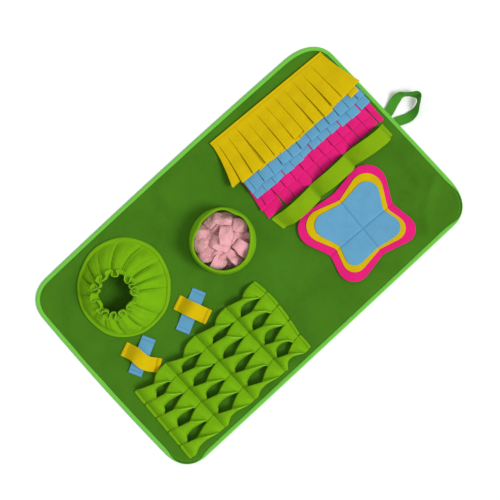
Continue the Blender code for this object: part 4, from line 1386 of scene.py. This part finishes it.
def build_grid():
    cloth = Cloth()
    strips = list(zip(GRID_SLITS, GRID_SLITS[1:]))
    places = [(part, True) for part in GRID_PARTS]
    places += [(1 - part, False) for part in reversed(GRID_PARTS[:-1])]
    crest = len(GRID_PARTS) - 1
    for cell in range(len(GRID_SEAMS) - 1):
        for strip in range(len(strips)):
            rows = []
            for row in range(GRID_ROWS + 1):
                share = row / GRID_ROWS
                rows.append([grid_point(cell, strip, share, part, rising) for part, rising in places])
            # The column before the crest takes the paler finish, a painted highlight along the raised edge;
            # the columns at the seams take the darker one, painted shade in the seam grooves
            cloth.add(rows, pale=(crest - 1,), pressed=(0, len(places) - 2))
    for number, side in ((0, -1), (len(GRID_SEAMS) - 1, 1)):
        for high_y, low_y in strips:
            cloth.add(grid_hem(number, side, high_y, low_y))
    made = felt_piece(cloth, "grid_felt", "felt_grid", "green")
    for seam in range(len(GRID_SEAMS)):
        for high_y, low_y in strips:
            ends = (high_y - SEAM_IN, low_y + SEAM_IN)
            THREADS["green"].run([(seam_place(seam, y), y, REST + FELT / 2) for y in ends])


def pocket_stage(share):
    """The pocket's profile at a share of its way from rim to frill, eased between its stages."""
    stages = [(s.radius, s.height, s.pleat, s.frill) for s in POCKET_PROFILE]
    along = share * (len(stages) - 1)
    piece = min(int(along), len(stages) - 2)
    part = along - piece
    low = stages[max(piece - 1, 0)]
    high = stages[min(piece + 2, len(stages) - 1)]
    values = []
    for before, start, end, after in zip(low, stages[piece], stages[piece + 1], high):
        leave, arrive = (end - before) / 2, (after - start) / 2
        bend = 2 * start - 2 * end + leave + arrive
        swing = 3 * (end - start) - 2 * leave - arrive
        values.append(start + leave * part + swing * part**2 + bend * part**3)
    return Stage(*values)


def lobed(lobes, angle):
    """The sum of some lobes at an angle."""
    return sum(lobe.height * math.sin(lobe.count * angle + lobe.turn) for lobe in lobes)


def ring_angles(count, every=1):
    """Angles all round a ring of so many columns."""
    return [2 * math.pi * column / count for column in range(0, count, every)]


def ring_noise(angle, ring, layer, size):
    """Noise that closes on itself round a ring."""
    return ripple(math.cos(angle) * ring, math.sin(angle) * ring, layer, size)


def pocket_oval(angle):
    """How far the pocket is pressed in on two sides and let out on the other two."""
    return lobed(POCKET_LOBES, angle) - POCKET_OVAL * math.cos(2 * (angle + POCKET_OVAL_TURN))


def pocket_point(stage, angle):
    """A point of the pocket's felt, pleated on the dome and curled in the frill."""
    climb = max(0.0, min(1.0, stage.height / POCKET_TOP))
    warp = angle + lobed(POCKET_WARP, angle)
    uneven = 1 + lobed(POCKET_UNEVEN, angle)
    spiral = PLEAT_SPIRAL - PLEAT_LEAN * math.cos(angle)
    phase = (POCKET_PLEATS * warp + spiral * climb) / 2
    puff = abs(math.sin(phase)) ** PLEAT_CREASE - 1
    fine = abs(math.sin(phase * 2 + FINE_TURN)) ** FINE_CREASE - 1
    curl = POCKET_FRILLS * warp
    out = math.cos(curl)
    swing = FRILL_SWING * (FRILL_LEVEL + (1 - FRILL_LEVEL) * uneven)
    radius = stage.radius + swing * stage.frill * out
    radius += pocket_oval(angle) * (1 - stage.frill * FRILL_ROUND)
    sideways = FRILL_CURL * math.sin(2 * curl) + lobed(FRILL_SLANT, angle) * out
    turn = angle + stage.frill * sideways / stage.radius
    deep = PLEAT_DEPTH * stage.pleat * max(PLEAT_LEAST, uneven)
    height = REST + stage.height + deep * (puff + FINE_PLEAT * fine)
    height += stage.frill * (FRILL_SIDE_UP * math.sin(curl) - FRILL_OUT_DOWN * out)
    rough = ring_noise(angle, POCKET_NOISE_RING, climb * POCKET_NOISE.layer, POCKET_NOISE.size)
    height += POCKET_NOISE.height * rough * (stage.pleat + POCKET_NOISE_LEAST)
    plan = on_circle(turn, radius, POCKET_RIM.lerp(POCKET_MOUTH, climb))
    return plan.x, plan.y, max(REST, height)


def build_pocket():
    rows = []
    for step in range(POCKET_STEPS + 1):
        stage = pocket_stage(step / POCKET_STEPS)
        rows.append([pocket_point(stage, angle) for angle in ring_angles(POCKET_COLUMNS)])
    cloth = Cloth()
    cloth.add(rows, wrap=True)
    made = felt_piece(cloth, "pocket_felt", "gathered_pocket", "green")
    seam = []
    for angle in ring_angles(POCKET_COLUMNS, POCKET_SEAM_COLUMNS):
        plan = on_circle(angle, POCKET_SEAM.radius + pocket_oval(angle), POCKET_RIM)
        seam.append((plan.x, plan.y, REST + POCKET_SEAM.height + FELT / 2))
    THREADS["green"].run([*seam, seam[0]])


def cup_push(angle, height):
    """How far the cup's wall is pushed inwards, most at the rim."""
    push = CUP_TAPER * height / CUP_HEIGHT
    for dent in CUP_DENTS:
        away = math.remainder(math.degrees(angle) - dent.degrees, 360)
        push += dent.depth * math.exp(-((away / dent.width) ** 2) * 2) * (height / CUP_HEIGHT) ** 2
    return push


def cup_wave(angle, height):
    """How far the cup's wall is higher on one side than on another."""
    return lobed(CUP_WAVE, angle) * height / CUP_HEIGHT


def build_cup():
    section = [(part.offset, part.height, 0.0) for part in CUP_SECTION]
    rows = []
    for step in range(CUP_STEPS + 1):
        point, _ = curve_at(section, step / CUP_STEPS)
        height = max(0.0, point.y)
        row = []
        for angle in ring_angles(CUP_COLUMNS):
            buckle = ring_noise(angle, CUP_BUCKLE_RING, height, CUP_BUCKLE_SIZE) * height / CUP_HEIGHT
            radius = CUP_RADIUS + point.x - cup_push(angle, height) + CUP_BUCKLE * buckle
            plan = on_circle(angle, radius, CUP_CENTRE)
            row.append((plan.x, plan.y, SEWN + height + cup_wave(angle, height)))
        rows.append(row)
    cloth = Cloth()
    cloth.add([*rows, rows[0]], wrap=True)
    finishes = (FINISH["green"], FINISH["green_cut"])
    made = cloth.piece("cup_felt", "cup_wall", SLOTS["green"], finishes, weld=CLOTH_WELD)
    seam = []
    for angle in ring_angles(CUP_COLUMNS, CUP_STITCH_COLUMNS):
        plan = on_circle(angle, CUP_RADIUS - CUP_STITCH_IN - cup_push(angle, CUP_STITCH), CUP_CENTRE)
        seam.append((plan.x, plan.y, SEWN + CUP_STITCH + cup_wave(angle, CUP_STITCH)))
    THREADS["green"].run([*seam, seam[0]])


def fleece_strip(rng, ring, index):
    """One crumpled strip: turned at random, creased along a few lines, and kept inside the cup."""
    angle = 2 * math.pi * (index + ring.turn + rng.uniform(-FLEECE_TURN_PLAY, FLEECE_TURN_PLAY)) / ring.count
    plan = on_circle(angle, ring.radius, CUP_CENTRE)
    heading = rng.uniform(0, math.pi)
    tilt = rng.uniform(-FLEECE_TILT, FLEECE_TILT)
    roll = rng.uniform(-FLEECE_ROLL, FLEECE_ROLL)
    top = FLEECE_TOP - ring.drop - rng.uniform(0.0, FLEECE_SINK)
    turn = Matrix.Rotation(heading, 3, "Z") @ Matrix.Rotation(tilt, 3, "Y") @ Matrix.Rotation(roll, 3, "X")
    folds = []
    for _ in range(FLEECE_FOLDS):
        facing = rng.uniform(0, math.pi)
        offset = rng.uniform(-FLEECE_CREASE_REACH, FLEECE_CREASE_REACH)
        steep = rng.choice(FLEECE_CREASES) * FLEECE_STEEP
        folds.append((math.cos(facing), math.sin(facing), offset, steep))
    layer = folds[0][2] * FLEECE_RIPPLE.layer
    rows = []
    for i in range(2 * FLEECE_HALF_ROWS + 1):
        along = i / FLEECE_HALF_ROWS - 1
        row = []
        for j in range(2 * FLEECE_HALF_COLUMNS + 1):
            across = j / FLEECE_HALF_COLUMNS - 1
            x = along * FLEECE_LENGTH * FLEECE_GATHERED
            y = across * FLEECE_WIDTH / 2 * (1 - FLEECE_NARROWED * abs(along))
            z = -FLEECE_ENDS_DOWN * abs(along) ** 4
            for cos, sin, offset, steep in folds:
                z -= steep * abs(x * cos + y * sin - offset)
            local = turn @ Vector((x, y, z + FLEECE_UP))
            local.z += FLEECE_RIPPLE.height * ripple(x, y, layer, FLEECE_RIPPLE.size)
            row.append(inside_cup(Vector((plan.x + local.x, plan.y + local.y, top + local.z))))
        rows.append(row)
    return rows


def inside_cup(point):
    """Presses a point of the fleece back inside the cup's wall, and down as it is crowded there."""
    out = point.xy - CUP_CENTRE
    limit = CUP_RADIUS - cup_push(math.atan2(out.y, out.x), point.z) - FLEECE_CLEAR
    if out.length > limit:
        point.xy = CUP_CENTRE + out * limit / out.length
        point.z -= (out.length - limit) * FLEECE_CROWDED
    point.z = max(SEWN + FLEECE_FOOT, point.z)
    return point


def build_fleece():
    rng = random.Random(FLEECE_SEED)
    finishes = (FINISH["fleece"],)
    cloth = Cloth()
    for ring in FLEECE_RINGS:
        for index in range(ring.count):
            cloth.add(fleece_strip(rng, ring, index))
    made = cloth.piece("fleece_strips", "cup_fleece", "pink_fleece", finishes, FLEECE_THICKNESS)
    heap = Cloth()
    rings = []
    for share in HEAP_RINGS:
        places = [on_circle(angle, HEAP_RADIUS * share, CUP_CENTRE) for angle in ring_angles(HEAP_COLUMNS)]
        height = SEWN + HEAP_FOOT + HEAP_RISE * (1 - share**4)
        rings.append([(p.x, p.y, height + rippled(HEAP_RIPPLE, p.x, p.y)) for p in places])
    heap.add(rings, wrap=True)
    heap.fan(rings[-1], (CUP_CENTRE.x, CUP_CENTRE.y, SEWN + HEAP_FOOT + HEAP_RISE))
    floor = heap.piece("fleece_base", "cup_fleece", "pink_fleece", finishes, FLEECE_THICKNESS, CLOTH_WELD)


def build_loop():
    line = []
    sides = []
    places = [(bend.x, bend.y, bend.z) for bend in LOOP_BENDS]
    rolls = [(bend.roll, 0.0, 0.0) for bend in LOOP_BENDS]
    for step in range(LOOP_STEPS + 1):
        share = step / LOOP_STEPS
        point, heading = curve_at(places, share)
        roll = math.radians(curve_at(rolls, share)[0].x)
        flat = Vector((-heading.y, heading.x, 0)).normalized()
        line.append(point)
        sides.append((flat * math.cos(roll) + UP * math.sin(roll)) * LOOP_WIDTH / 2)
    cloth = Cloth()
    cloth.add(band_rows(line, sides, LOOP_COLUMNS))
    made = cloth.piece("hanging_loop_tape", "hanging_loop", "loop_tape", (FINISH["loop"],), LOOP_TAPE)
    length = Cloth.measured(line)[-1]


def build_threads():
    slots = {"binding": "binding_tape", **SLOTS}
    for name, stitches in THREADS.items():
        if stitches.faces:
            stitches.piece(name + "_stitches", slots[name], FINISH[name + "_thread"])


def build_stage():
    mesh = bpy.data.meshes.new("floor")
    corners = [(x * FLOOR_HALF, y * FLOOR_HALF, 0) for x, y in ((-1, -1), (1, -1), (1, 1), (-1, 1))]
    mesh.from_pydata(corners, [], [(0, 1, 2, 3)])
    material = bpy.data.materials.new("floor")
    material.use_nodes = True
    surface = material.node_tree.nodes["Principled BSDF"]
    surface.inputs["Base Color"].default_value = FLOOR_TONE
    surface.inputs["Roughness"].default_value = 0.9
    surface.inputs["Specular IOR Level"].default_value = 0.1
    mesh.materials.append(material)
    floor = placed("floor", mesh)
    floor.location.z = -FLOOR_DROP


def add_sun(name, comes_from, strength, spread):
    data = bpy.data.lights.new(name, "SUN")
    data.energy = strength
    data.angle = spread
    light = placed(name, data)
    light.rotation_mode = "QUATERNION"
    light.rotation_quaternion = (-Vector(comes_from)).to_track_quat("-Z", "Y")


def build_light():
    world = bpy.data.worlds.new("studio")
    world.use_nodes = True
    background = world.node_tree.nodes["Background"]
    background.inputs["Color"].default_value = WHITE
    background.inputs["Strength"].default_value = WORLD_STRENGTH
    bpy.context.scene.world = world
    add_sun("key", KEY_FROM, KEY_STRENGTH, KEY_SPREAD)
    bpy.context.scene.view_settings.view_transform = "Standard"
    bpy.context.scene.view_settings.look = "None"


def build_camera():
    data = bpy.data.cameras.new("camera")
    data.sensor_fit = "HORIZONTAL"
    data.sensor_width = CAMERA_SENSOR
    data.lens = CAMERA_LENS
    data.clip_start, data.clip_end = CAMERA_CLIP
    camera = placed("camera", data)
    camera.location = CAMERA_PLACE
    camera.rotation_euler = CAMERA_TURN
    bpy.context.scene.camera = camera


build_camera()
build_light()
build_stage()
build_mat_base()
build_binding()
sew_binding()
build_loop()
for row in FRINGES:
    for tier in TIERS:
        build_tier(row, tier)
build_ribbon()
build_butterfly()
for row in STRAPS:
    build_strap(row)
build_grid()
build_pocket()
build_cup()
build_fleece()
build_threads()
